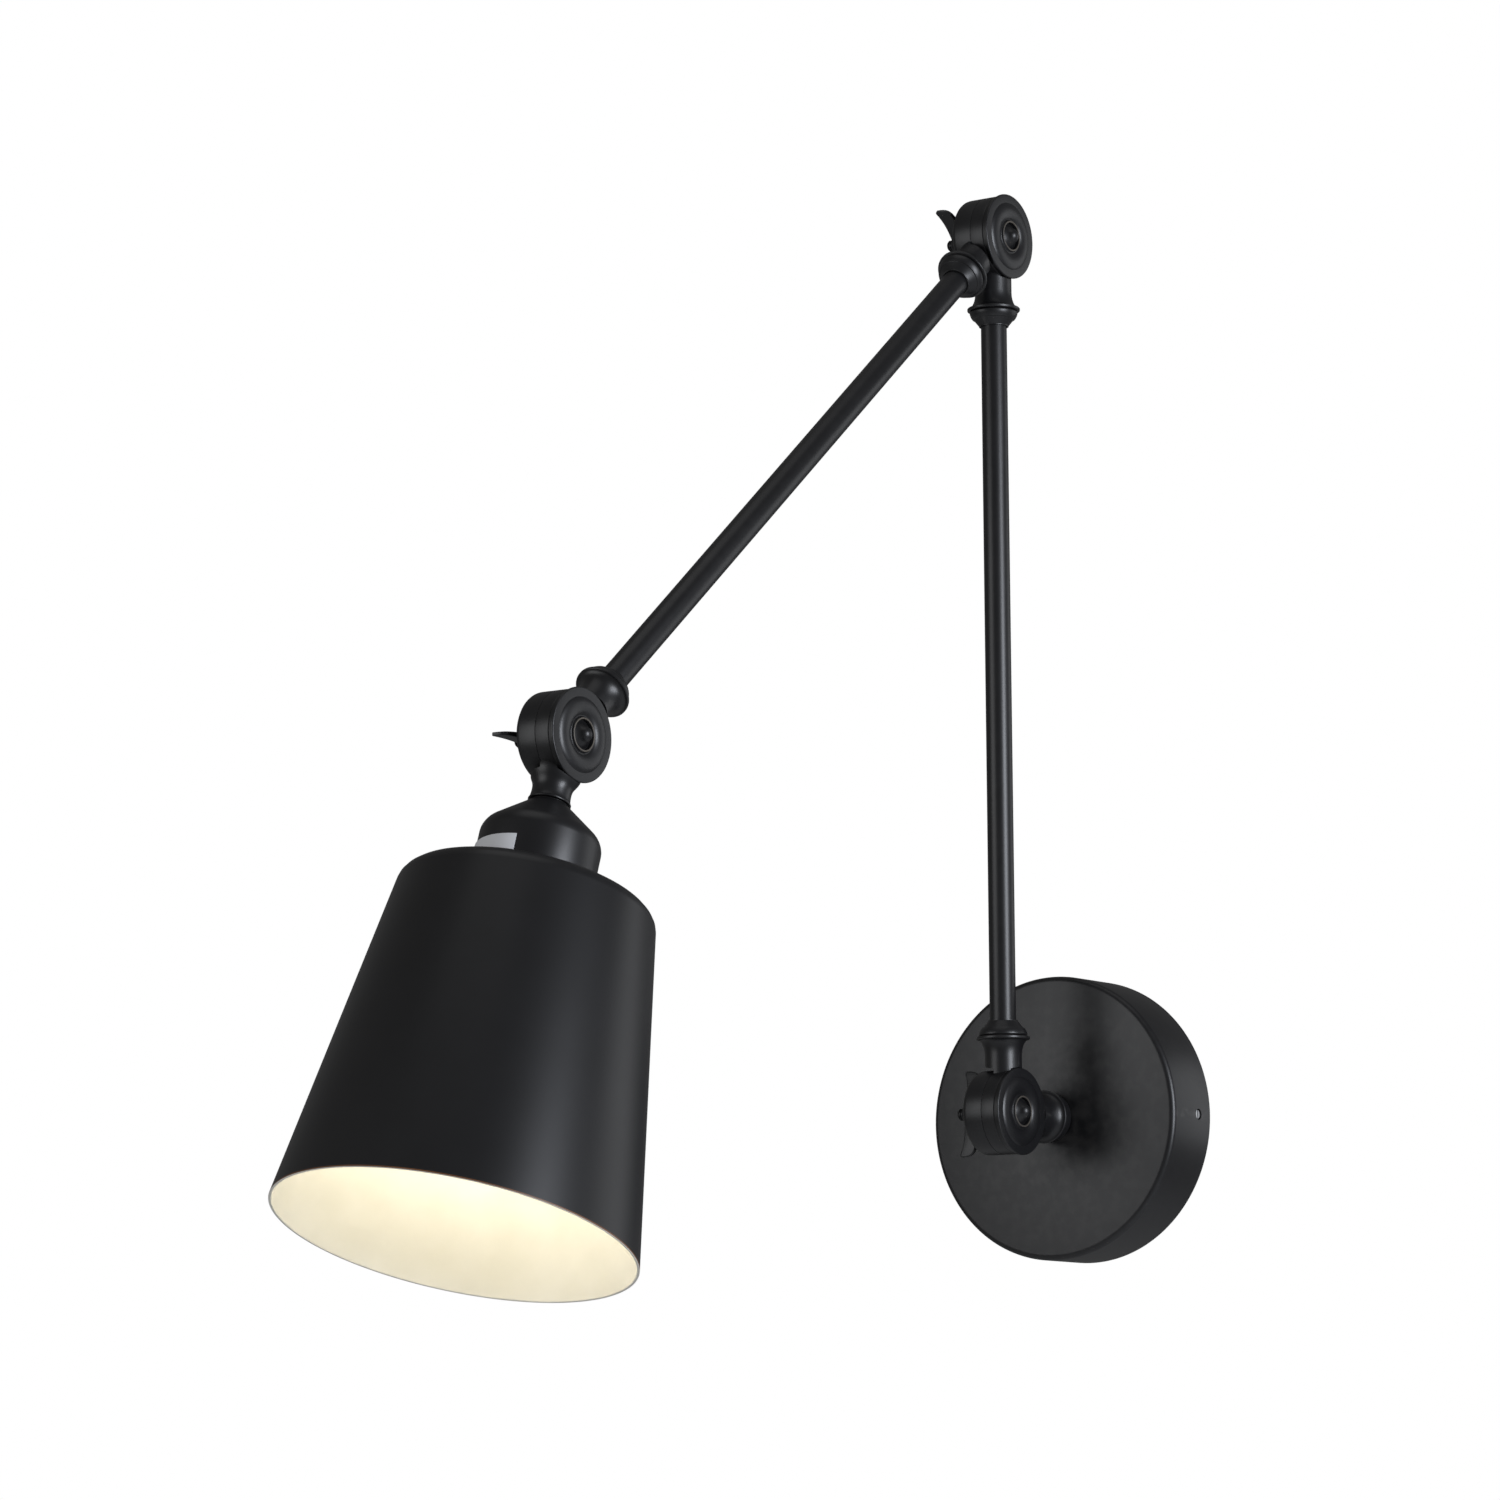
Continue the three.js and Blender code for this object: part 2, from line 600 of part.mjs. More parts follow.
/** Tube, collars and flex of one arm. The side says which halves of its knuckles the arm carries. */
function addArmBody(frame, name, length, side, nearName, farName) {
  addPiece(frame, `${name}_tube`, armTube(length), 'blackPaint');
  addPiece(frame, `${name}_${nearName}_collar`, tubeCollar(), 'blackPaint');
  addPiece(frame, `${name}_${farName}_collar`, atFarEnd(tubeCollar(), length), 'blackPaint');
  const flex = rod(FLEX_RADIUS, FLEX_INSET, length - FLEX_INSET, 12);
  addPiece(frame, `${name}_flex`, flex.translate(side * FLEX_OFFSET, 0, 0), 'flexSheath');
}

/** The cap, bolt and friction washer that stay with a knuckle's front half. */
function addFrontFittings(frame, knuckle) {
  addPiece(frame, `${knuckle}_knuckle_cap`, capPlate(), 'blackPaint');
  addPiece(frame, `${knuckle}_pivot_bolt`, pivotBolt(), 'blackPaint');
  addPiece(frame, `${knuckle}_friction_washer`, frictionWasher(), 'fibre');
}

/** The spring washer and wing nut behind a knuckle, with the wings at an angle forward of upright. */
function addClamp(parent, knuckle, pivot, wingAngle) {
  const frame = armFrame(parent, pivot, wingAngle);
  addPiece(frame, `${knuckle}_spring_washer`, springWasher(), 'steel');
  addPiece(frame, `${knuckle}_wing_nut`, wingNut(), 'blackPaint');
}

// ---------------------------------------------------------------- wall side

/** The canopy: a shallow drum open at the wall, with a nipple hole in front and screw holes in its side. */
function canopyShell() {
  const inner = CANOPY_RADIUS - CANOPY_WALL;
  const innerRound = CANOPY_EDGE_ROUND - CANOPY_WALL;
  const hole = NIPPLE_RADIUS + REST_GAP;
  const roundBase = CANOPY_DEPTH - CANOPY_EDGE_ROUND;
  const shell = turned([
    [inner, 0],
    [CANOPY_RADIUS, 0],
    ...arc(CANOPY_RADIUS - CANOPY_EDGE_ROUND, roundBase, CANOPY_EDGE_ROUND, 0, 90, 4),
    [hole, CANOPY_DEPTH],
    [hole, CANOPY_DEPTH - CANOPY_WALL],
    ...arc(CANOPY_RADIUS - CANOPY_EDGE_ROUND, roundBase, innerRound, 90, 0, 3),
  ], LARGE_FACETS);
  const past = 1.2 * CANOPY_RADIUS;
  const screwHole = rod(SIDE_SCREW_RADIUS + REST_GAP, -past, past, SCREW_FACETS, 'x');
  return cut(shell, screwHole.translate(0, 0, SIDE_SCREW_HEIGHT)).rotateX(Math.PI / 2);
}

/** A slot for a wall screw, through the strap along Y. */
function wallSlot(place) {
  const half = WALL_SLOT_LENGTH / 2 - WALL_SLOT_WIDTH / 2;
  const outline = new THREE.Shape();
  outline.absarc(half, 0, WALL_SLOT_WIDTH / 2, -Math.PI / 2, Math.PI / 2, false);
  outline.absarc(-half, 0, WALL_SLOT_WIDTH / 2, Math.PI / 2, 1.5 * Math.PI, false);
  const settings = { depth: 3 * STRAP_THICKNESS, curveSegments: 6, bevelEnabled: false };
  const slot = new THREE.ExtrudeGeometry(outline, settings);
  return slot.rotateX(Math.PI / 2).translate(place, STRAP_THICKNESS, 0);
}

/** The mounting strap: a flat bar on the wall whose turned-out ears take the canopy's side screws. */
function wallStrap() {
  const reach = CANOPY_RADIUS - CANOPY_WALL - 2 * REST_GAP;
  const half = STRAP_WIDTH / 2;
  const bar = block([-reach, -STRAP_THICKNESS, -half], [reach, 0, half]);
  const earInner = reach - STRAP_THICKNESS;
  const right = block([earInner, -STRAP_EAR_DEPTH, -half + 3], [reach, 0, half - 3]);
  const left = block([-reach, -STRAP_EAR_DEPTH, -half + 3], [-earInner, 0, half - 3]);
  const round = new THREE.Shape();
  round.absarc(0, 0, CANOPY_RADIUS - CANOPY_WALL - REST_GAP, 0, 2 * Math.PI, false);
  const settings = { depth: 2 * STRAP_EAR_DEPTH, curveSegments: 32, bevelEnabled: false };
  const room = new THREE.ExtrudeGeometry(round, settings).rotateX(Math.PI / 2);
  room.translate(0, 0.5 * STRAP_EAR_DEPTH, 0);
  const earHoles = rod(SIDE_SCREW_RADIUS + REST_GAP, -CANOPY_RADIUS, CANOPY_RADIUS, SCREW_FACETS, 'x');
  const whole = toGeometry(toSolid(joined(bar, right, left)).intersect(toSolid(room)));
  return cut(
    whole,
    earHoles.translate(0, -SIDE_SCREW_HEIGHT, 0),
    wallSlot(WALL_SLOT_PITCH / 2),
    wallSlot(-WALL_SLOT_PITCH / 2),
    smallScrewHole(-GROUND_SCREW_PLACE),
    smallScrewHole(TERMINAL_START + TERMINAL_LENGTH / 2),
  );
}

/** A tapped hole for a small screw, through the strap along Y. */
function smallScrewHole(place) {
  const hole = rod(SMALL_SCREW_RADIUS + REST_GAP, -2 * STRAP_THICKNESS, 2 * STRAP_THICKNESS, SCREW_FACETS);
  return hole.rotateX(Math.PI / 2).translate(place, 0, 0);
}

/** A pan-head screw into the strap at a place along X, its head at a height off the wall. */
function smallScrew(place, headSeat) {
  const screw = turned([
    [0, REST_GAP],
    [SMALL_SCREW_RADIUS, REST_GAP],
    [SMALL_SCREW_RADIUS, headSeat],
    [SMALL_SCREW_HEAD_RADIUS, headSeat],
    [SMALL_SCREW_HEAD_RADIUS, headSeat + 0.6 * SMALL_SCREW_HEAD_HEIGHT],
    [0.6 * SMALL_SCREW_HEAD_RADIUS, headSeat + SMALL_SCREW_HEAD_HEIGHT],
    [0, headSeat + SMALL_SCREW_HEAD_HEIGHT],
  ], SCREW_FACETS);
  return screw.rotateX(Math.PI / 2).translate(place, 0, 0);
}

/** A slotted set screw, flush in the canopy's side and threaded into a strap ear. Side is -1 or +1. */
function sideScrew(side) {
  const head = CANOPY_RADIUS - SIDE_SCREW_RECESS;
  const slot = block([head - 1, -0.35, -3], [head + 1, 0.35, 3]);
  const screw = cut(rod(SIDE_SCREW_RADIUS, head - SIDE_SCREW_LENGTH, head, SCREW_FACETS, 'x'), slot);
  return screw.rotateZ(side < 0 ? Math.PI : 0).translate(0, -SIDE_SCREW_HEIGHT, 0);
}

/** The two-pole terminal block on the strap, with wire holes along X and clamp screw wells in front. */
function terminalBlock() {
  const seat = STRAP_THICKNESS + REST_GAP;
  const end = TERMINAL_START + TERMINAL_LENGTH;
  const half = TERMINAL_WIDTH / 2;
  const body = block([TERMINAL_START, -seat - TERMINAL_HEIGHT, -half], [end, -seat, half]);
  const middle = -seat - TERMINAL_HEIGHT / 2;
  const tools = [];
  for (const pole of [-1, 1]) {
    const wireHole = rod(1.4, TERMINAL_START - 1, end + 1, 12, 'x');
    tools.push(wireHole.translate(0, middle, (pole * TERMINAL_WIDTH) / 4));
    for (const share of [0.2, 0.8]) {
      const well = rod(1.7, -middle, seat + TERMINAL_HEIGHT + 1, 12).rotateX(Math.PI / 2);
      tools.push(well.translate(TERMINAL_START + share * TERMINAL_LENGTH, 0, (pole * TERMINAL_WIDTH) / 4));
    }
  }
  const fixing = rod(SMALL_SCREW_RADIUS + REST_GAP, 0, 2 * TERMINAL_HEIGHT, SCREW_FACETS);
  tools.push(fixing.rotateX(Math.PI / 2).translate(TERMINAL_START + TERMINAL_LENGTH / 2, 0, 0));
  return cut(body, ...tools);
}

/** The spacer collar between the wall knuckle's rim and the canopy. */
function canopyCollar() {
  const bore = NIPPLE_RADIUS + REST_GAP;
  const edge = 0.5;
  const end = COLLAR_START + CANOPY_COLLAR_LENGTH;
  return turned([
    [bore, COLLAR_START],
    [CANOPY_COLLAR_RADIUS - edge, COLLAR_START],
    [CANOPY_COLLAR_RADIUS, COLLAR_START + edge],
    [CANOPY_COLLAR_RADIUS - CANOPY_COLLAR_TAPER, end],
    [bore, end],
  ], SMALL_FACETS);
}

/** The threaded nipple through the canopy that holds the wall knuckle's neck. */
function nipple() {
  const start = TUBE_START;
  const end = BASE_PIVOT_STANDOFF - CANOPY_DEPTH + NIPPLE_TAIL;
  return turned([
    [NIPPLE_BORE_RADIUS, start],
    [NIPPLE_RADIUS, start],
    [NIPPLE_RADIUS, end],
    [NIPPLE_BORE_RADIUS, end],
  ], SMALL_FACETS);
}

/** A flat ring round the nipple, inside the canopy. */
function nippleWasher() {
  const start = BASE_PIVOT_STANDOFF - CANOPY_DEPTH + CANOPY_WALL + REST_GAP;
  const bore = NIPPLE_RADIUS + REST_GAP;
  const outer = NUT_FLAT_RADIUS + 1.5;
  return turned([
    [bore, start],
    [outer, start],
    [outer, start + WASHER_THICKNESS],
    [bore, start + WASHER_THICKNESS],
  ], SMALL_FACETS);
}

/** A hexagon nut round an axis along Z, from one height up. */
function hexNut(flatRadius, boreRadius, start, thickness) {
  const corner = flatRadius / Math.cos(Math.PI / 6);
  const hexagon = new THREE.CylinderGeometry(corner, corner, thickness, 6);
  hexagon.rotateX(Math.PI / 2).translate(0, 0, start + thickness / 2);
  return cut(hexagon, rod(boreRadius, start - 1, start + thickness + 1, SMALL_FACETS));
}

/** The flex from the wall knuckle through the nipple to the terminal block, in the canopy neck's frame. */
function canopyFlexPath() {
  const pivot = BASE_PIVOT_STANDOFF;
  const tail = pivot - CANOPY_DEPTH + NIPPLE_TAIL;
  const blockHeight = pivot - STRAP_THICKNESS - REST_GAP - TERMINAL_HEIGHT / 2;
  const poleSide = TERMINAL_WIDTH / 4;
  return new THREE.CatmullRomCurve3([
    new THREE.Vector3(-FLEX_OFFSET, 0, FLEX_INSET),
    new THREE.Vector3(-FLEX_OFFSET, 0, (FLEX_INSET + tail) / 2),
    new THREE.Vector3(-FLEX_OFFSET, 0, tail),
    new THREE.Vector3(-FLEX_OFFSET + 2, poleSide / 2, tail + 6),
    new THREE.Vector3(TERMINAL_START - 4, poleSide, blockHeight),
    new THREE.Vector3(TERMINAL_START - REST_GAP, poleSide, blockHeight),
  ], false, 'centripetal');
}

function addWallSide(root, basePivot) {
  addPiece(root, 'wall_bracket', wallStrap(), 'steel');
  addPiece(root, 'canopy', canopyShell(), 'blackPaint');
  addPiece(root, 'canopy_side_screw_right', sideScrew(1), 'steel');
  addPiece(root, 'canopy_side_screw_left', sideScrew(-1), 'steel');
  addPiece(root, 'ground_screw', smallScrew(-GROUND_SCREW_PLACE, STRAP_THICKNESS + REST_GAP), 'brass');
  addPiece(root, 'terminal_block', terminalBlock(), 'clearPlastic');
  const screwSeat = STRAP_THICKNESS + TERMINAL_HEIGHT + 2 * REST_GAP;
  const screwPlace = TERMINAL_START + TERMINAL_LENGTH / 2;
  addPiece(root, 'terminal_block_screw', smallScrew(screwPlace, screwSeat), 'steel');

  const neck = armFrame(root, basePivot, CANOPY_NECK_ANGLE);
  addPiece(neck, 'base_knuckle_rear', socketHalf(-1, NIPPLE_RADIUS), 'blackPaint');
  addPiece(neck, 'canopy_collar', canopyCollar(), 'blackPaint');
  addPiece(neck, 'canopy_nipple', nipple(), 'steel');
  addPiece(neck, 'nipple_washer', nippleWasher(), 'steel');
  const nutStart = BASE_PIVOT_STANDOFF - CANOPY_DEPTH + CANOPY_WALL + WASHER_THICKNESS + 2 * REST_GAP;
  const nut = hexNut(NUT_FLAT_RADIUS, NIPPLE_RADIUS + REST_GAP, nutStart, NUT_THICKNESS);
  addPiece(neck, 'nipple_nut', nut, 'steel');
  addPiece(neck, 'canopy_flex', swept(canopyFlexPath(), FLEX_RADIUS, 24), 'flexSheath');
}

// ---------------------------------------------------------------- lamp head

/** The socket cup: a cone that rounds into a straight wall, open at the shade. */
function socketCup() {
  const hole = NIPPLE_RADIUS + REST_GAP;
  const lip = CUP_TOP + CUP_LIP;
  const slope = Math.atan2(CUP_SHOULDER_LENGTH - CUP_LIP, CUP_RADIUS - CUP_SEAT_RADIUS);
  const inset = CUP_WALL * Math.tan((Math.PI / 2 - slope) / 2);
  const corner = [CUP_RADIUS, CUP_TOP + CUP_SHOULDER_LENGTH];
  const innerCorner = [CUP_RADIUS - CUP_WALL, CUP_TOP + CUP_SHOULDER_LENGTH + inset];
  const seatEnd = CUP_TOP + CUP_SEAT_THICKNESS;
  const coneStart = CUP_RADIUS - CUP_WALL - (innerCorner[1] - seatEnd) / Math.tan(slope);
  const outside = rounded([CUP_SEAT_RADIUS, lip], corner, [CUP_RADIUS, CUP_END], CUP_SHOULDER_ROUND);
  const wallEnd = [CUP_RADIUS - CUP_WALL, CUP_END];
  const inside = rounded(wallEnd, innerCorner, [coneStart, seatEnd], CUP_SHOULDER_ROUND - inset);
  return turned([
    [hole, CUP_TOP],
    [CUP_SEAT_RADIUS, CUP_TOP],
    [CUP_SEAT_RADIUS, lip],
    ...outside,
    [CUP_RADIUS, CUP_END],
    wallEnd,
    ...inside,
    [coneStart, seatEnd],
    [hole, seatEnd],
  ], CUP_FACETS);
}

/** The lamp holder: an insulating body with a flange above the shade and a threaded skirt through it. */
function lampHolder() {
  return turned([
    [NIPPLE_RADIUS + REST_GAP, HOLDER_TOP],
    [HOLDER_RADIUS - HOLDER_SHOULDER, HOLDER_TOP],
    [HOLDER_RADIUS, HOLDER_TOP + HOLDER_SHOULDER],
    [HOLDER_RADIUS, HOLDER_SEAT - HOLDER_FLANGE_THICKNESS],
    [HOLDER_FLANGE_RADIUS, HOLDER_SEAT - HOLDER_FLANGE_THICKNESS],
    [HOLDER_FLANGE_RADIUS, HOLDER_SEAT],
    [HOLDER_RADIUS, HOLDER_SEAT],
    [HOLDER_RADIUS, HOLDER_END],
    [HOLDER_BORE_RADIUS, HOLDER_END],
    [HOLDER_BORE_RADIUS, HOLDER_FLOOR_FACE],
    [NIPPLE_RADIUS + REST_GAP, HOLDER_FLOOR_FACE],
  ], CUP_FACETS);
}

/** The shade: a flat top with a hole, a round shoulder and a straight taper to the mouth. */
function shadeShell() {
  const slope = Math.atan2(SHADE_MOUTH_RADIUS - SHADE_TOP_RADIUS, SHADE_HEIGHT);
  const slopeDegrees = THREE.MathUtils.radToDeg(slope);
  const round = SHADE_SHOULDER_ROUND;
  const centreHeight = SHADE_TOP + round;
  const sideAt = (height) => SHADE_TOP_RADIUS + (height - SHADE_TOP) * Math.tan(slope);
  const centreRadius = sideAt(centreHeight) - round / Math.cos(slope);
  const wallStep = SHADE_WALL / Math.cos(slope);
  const hole = HOLDER_RADIUS + REST_GAP;
  return turned([
    [hole, SHADE_TOP],
    ...arc(centreRadius, centreHeight, round, -90, -slopeDegrees, 5),
    [SHADE_MOUTH_RADIUS, SHADE_MOUTH],
    [SHADE_MOUTH_RADIUS - wallStep, SHADE_MOUTH],
    ...arc(centreRadius, centreHeight, round - SHADE_WALL, -slopeDegrees, -90, 4),
    [hole, SHADE_TOP + SHADE_WALL],
  ], LARGE_FACETS);
}

/** The threaded ring that clamps the shade against the lamp holder's flange. */
function shadeRing() {
  const start = SHADE_TOP + SHADE_WALL + REST_GAP;
  const bore = HOLDER_RADIUS + REST_GAP;
  return turned([
    [bore, start],
    [SHADE_RING_RADIUS, start],
    [SHADE_RING_RADIUS, start + 1.6],
    [bore + 3, start + 2.4],
    [bore + 3, start + SHADE_RING_THICKNESS],
    [bore, start + SHADE_RING_THICKNESS],
  ], CUP_FACETS);
}

/** The brass screw shell inside the lamp holder. */
function screwShell() {
  const inner = LAMP_CAP_RADIUS + REST_GAP;
  return turned([
    [inner, LAMP_CAP_START + 2],
    [inner + SHELL_WALL, LAMP_CAP_START + 2],
    [inner + SHELL_WALL, LAMP_CAP_END - 1],
    [inner, LAMP_CAP_END - 1],
  ], CUP_FACETS);
}

/** The sprung tongue under the lamp's tip, a bent brass strip. */
function centreContact() {
  const floor = HOLDER_FLOOR_FACE + REST_GAP;
  const tip = LAMP_CAP_START - 3.4;
  const outline = new THREE.Shape();
  outline.moveTo(-9, floor);
  outline.lineTo(-5.8, floor);
  outline.lineTo(0.5, tip - 0.8);
  outline.lineTo(4, tip - 0.8);
  outline.lineTo(4, tip);
  outline.lineTo(0, tip);
  outline.lineTo(-6.3, floor + 0.8);
  outline.lineTo(-9, floor + 0.8);
  outline.closePath();
  const strip = new THREE.ExtrudeGeometry(outline, { depth: 5, bevelEnabled: false });
  return strip.translate(0, 0, -2.5).rotateX(Math.PI / 2);
}

/** The lamp's screw cap, with its contact tip, as one closed piece. */
function lampCap() {
  const tip = LAMP_CAP_START - 3;
  return turned([
    [0, tip],
    [3.6, tip + 0.4],
    [5, LAMP_CAP_START - 1],
    [9.5, LAMP_CAP_START + 2],
    [LAMP_CAP_RADIUS - 0.8, LAMP_CAP_START + 3.4],
    [LAMP_CAP_RADIUS, LAMP_CAP_START + 5],
    [LAMP_CAP_RADIUS, LAMP_CAP_END],
    [0, LAMP_CAP_END],
  ], CUP_FACETS);
}

/** The frosted bulb: a short neck that swells into a sphere. It is open at the cap. */
function bulbGlass() {
  const neck = LAMP_CAP_RADIUS - 0.4;
  const centre = GLASS_START + BULB_LENGTH - BULB_RADIUS;
  const joinAngle = 52;
  const cheek = [
    BULB_RADIUS * Math.cos(radians(joinAngle)),
    centre - BULB_RADIUS * Math.sin(radians(joinAngle)),
  ];
  const outside = (inset) => [
    [neck - inset, GLASS_START],
    [neck + 1 - inset, (GLASS_START + cheek[1]) / 2],
    ...arc(0, centre, BULB_RADIUS - inset, -joinAngle, 90, 8).slice(0, -1),
    [0, centre + BULB_RADIUS - inset],
  ];
  return turned([...outside(BULB_WALL).reverse(), ...outside(0)], CUP_FACETS);
}

/** A plain film label round part of the cup's wall. */
function cupLabel() {
  const inner = CUP_RADIUS + REST_GAP;
  const outer = inner + LABEL_THICKNESS;
  const start = radians(LABEL_START);
  const end = radians(LABEL_START + LABEL_SWEEP);
  const outline = new THREE.Shape();
  outline.absarc(0, 0, outer, start, end, false);
  outline.absarc(0, 0, inner, end, start, true);
  outline.closePath();
  const settings = { depth: LABEL_HEIGHT, curveSegments: 12, bevelEnabled: false };
  const film = new THREE.ExtrudeGeometry(outline, settings);
  return film.translate(0, 0, CUP_END - LABEL_TO_SHADE - LABEL_HEIGHT);
}

function addLampHead(frame) {
  addPiece(frame, 'head_knuckle_front', recessed(lampHalf()), 'blackPaint');
  addFrontFittings(frame, 'head');
  addPiece(frame, 'socket_cup', socketCup(), 'blackPaint');
  const cupNutStart = CUP_TOP + CUP_SEAT_THICKNESS + REST_GAP;
  const cupNut = hexNut(CUP_NUT_FLAT_RADIUS, NIPPLE_RADIUS + REST_GAP, cupNutStart, CUP_NUT_THICKNESS);
  addPiece(frame, 'socket_cup_nut', cupNut, 'steel');
  addPiece(frame, 'socket_label', cupLabel(), 'labelFilm');
  addPiece(frame, 'lamp_holder', lampHolder(), 'porcelain');
  addPiece(frame, 'lamp_holder_shell', screwShell(), 'brass');
  addPiece(frame, 'lamp_holder_contact', centreContact(), 'brass');
  addPiece(frame, 'shade', shadeShell(), 'blackPaint');
  addPiece(frame, 'shade_ring', shadeRing(), 'porcelain');
  addPiece(frame, 'bulb_cap', lampCap(), 'lampCap');
  addPiece(frame, 'bulb_glass', bulbGlass(), 'frostedGlass');
  const flex = rod(FLEX_RADIUS, FLEX_INSET, HOLDER_FLOOR_FACE - 1, 12);
  addPiece(frame, 'head_flex', flex.translate(FLEX_OFFSET, 0, 0), 'flexSheath');
}

// ---------------------------------------------------------------- assembly

const light = new THREE.Group();
light.name = 'wall_light';

const basePivot = new THREE.Vector3(0, -BASE_PIVOT_STANDOFF, 0);
const elbowPivot = basePivot.clone().addScaledVector(armDirection(LOWER_ARM_ANGLE), LOWER_ARM_LENGTH);
const headPivot = elbowPivot.clone().addScaledVector(armDirection(UPPER_ARM_ANGLE), UPPER_ARM_LENGTH);

addWallSide(light, basePivot);
addClamp(light, 'base', basePivot, BASE_WING_ANGLE);
addClamp(light, 'elbow', elbowPivot, ELBOW_WING_ANGLE);
addClamp(light, 'head', headPivot, HEAD_WING_ANGLE);

const lowerArm = armFrame(light, basePivot, LOWER_ARM_ANGLE);
addPiece(lowerArm, 'base_knuckle_front', recessed(socketHalf(1, TUBE_RADIUS)), 'blackPaint');
addFrontFittings(lowerArm, 'base');
addArmBody(lowerArm, 'lower_arm', LOWER_ARM_LENGTH, 1, 'base', 'elbow');

const lowerArmEnd = armFrame(light, elbowPivot, LOWER_ARM_ANGLE + 180);
addPiece(lowerArmEnd, 'elbow_knuckle_front', recessed(socketHalf(1, TUBE_RADIUS)), 'blackPaint');
addFrontFittings(lowerArmEnd, 'elbow');

const upperArm = armFrame(light, elbowPivot, UPPER_ARM_ANGLE);
addPiece(upperArm, 'elbow_knuckle_rear', socketHalf(-1, TUBE_RADIUS), 'blackPaint');
addArmBody(upperArm, 'upper_arm', UPPER_ARM_LENGTH, -1, 'elbow', 'head');

const upperArmEnd = armFrame(light, headPivot, UPPER_ARM_ANGLE + 180);
addPiece(upperArmEnd, 'head_knuckle_rear', socketHalf(-1, TUBE_RADIUS), 'blackPaint');

addLampHead(armFrame(light, headPivot, HEAD_ANGLE));

export default light;
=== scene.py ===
"""Studio looks for an adjustable two-arm wall light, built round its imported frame.

Metres, +Z up. The origin is the middle of the mounting strap's back, on the wall plane. The wall lies at
+Y, the light reaches out towards -Y, and every knuckle turns about an axis along X, with its cap on the
+X side and its wing nut on the -X side.
"""

import json
import logging
import math
from collections.abc import Sequence
from dataclasses import dataclass
from enum import Enum

import bmesh
import bpy
from bmesh.types import BMesh
from mathutils import Matrix, Vector
from mathutils.geometry import interpolate_bezier

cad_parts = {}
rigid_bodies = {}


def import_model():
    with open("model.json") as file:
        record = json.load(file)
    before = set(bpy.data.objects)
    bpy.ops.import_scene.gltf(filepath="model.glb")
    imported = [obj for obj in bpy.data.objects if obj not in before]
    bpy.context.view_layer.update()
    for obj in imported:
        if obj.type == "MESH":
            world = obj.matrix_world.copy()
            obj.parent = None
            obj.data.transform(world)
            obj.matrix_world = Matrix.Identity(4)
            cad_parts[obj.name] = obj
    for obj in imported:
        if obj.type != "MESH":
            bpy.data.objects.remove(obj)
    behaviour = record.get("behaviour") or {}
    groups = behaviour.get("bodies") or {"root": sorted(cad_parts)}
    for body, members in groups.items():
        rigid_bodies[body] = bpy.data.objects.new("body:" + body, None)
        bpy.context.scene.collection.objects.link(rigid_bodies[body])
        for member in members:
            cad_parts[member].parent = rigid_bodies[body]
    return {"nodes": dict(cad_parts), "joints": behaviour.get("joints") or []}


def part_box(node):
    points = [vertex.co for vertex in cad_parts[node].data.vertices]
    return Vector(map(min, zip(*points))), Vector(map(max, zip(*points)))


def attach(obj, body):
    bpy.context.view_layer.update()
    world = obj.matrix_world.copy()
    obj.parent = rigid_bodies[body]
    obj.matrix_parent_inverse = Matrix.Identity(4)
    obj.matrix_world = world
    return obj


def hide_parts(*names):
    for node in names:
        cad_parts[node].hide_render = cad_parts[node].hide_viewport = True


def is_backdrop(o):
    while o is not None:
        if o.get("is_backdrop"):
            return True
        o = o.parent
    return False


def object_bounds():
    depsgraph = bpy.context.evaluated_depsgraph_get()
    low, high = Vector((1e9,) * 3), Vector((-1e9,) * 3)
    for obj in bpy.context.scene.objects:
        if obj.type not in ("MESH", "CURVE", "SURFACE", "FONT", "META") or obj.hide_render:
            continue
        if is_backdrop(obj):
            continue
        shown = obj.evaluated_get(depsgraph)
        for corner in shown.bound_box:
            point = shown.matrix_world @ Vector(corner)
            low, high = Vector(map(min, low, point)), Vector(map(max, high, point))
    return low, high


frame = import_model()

log = logging.getLogger("wall_light")

FULL_TURN = 2 * math.pi
MERGE_DISTANCE = 1e-6
REST_GAP = 0.0003  # between pieces that rest on, screw into or pass through each other

Colour = tuple[float, float, float]
Point = tuple[float, float]


# ------------------------------------------------------------------ named choices


class Body(Enum):
    """The bodies of the light that move apart."""

    WALL_MOUNT = "wall_mount"
    LOWER_ARM = "lower_arm"
    UPPER_ARM = "upper_arm"
    LAMP_HEAD = "lamp_head"
    BASE_WING = "base_wing"
    ELBOW_WING = "elbow_wing"
    HEAD_WING = "head_wing"


class Slot(Enum):
    """The record's material slots."""

    BLACK_PAINT = "black_paint"
    STEEL = "steel"
    BRASS = "brass"
    WASHER_FIBRE = "washer_fibre"
    HOLDER_PLASTIC = "holder_plastic"
    TERMINAL_PLASTIC = "terminal_plastic"
    FLEX_SHEATH = "flex_sheath"
    LAMP_CAP = "lamp_cap"
    BULB_GLASS = "bulb_glass"
    LABEL_FILM = "label_film"


class Shaping(Enum):
    """What one solid does to another."""

    JOIN = "UNION"
    CUT = "DIFFERENCE"
    KEEP = "INTERSECT"


class Steps(Enum):
    """Steps round a full turn, by how large the turned piece is."""

    LARGE = 160
    MEDIUM = 96
    SMALL = 64
    FINE = 36


class Side(Enum):
    """The two halves of a knuckle, as signs along the hinge axis."""

    REAR = -1
    FRONT = 1


# ------------------------------------------------------------------ places


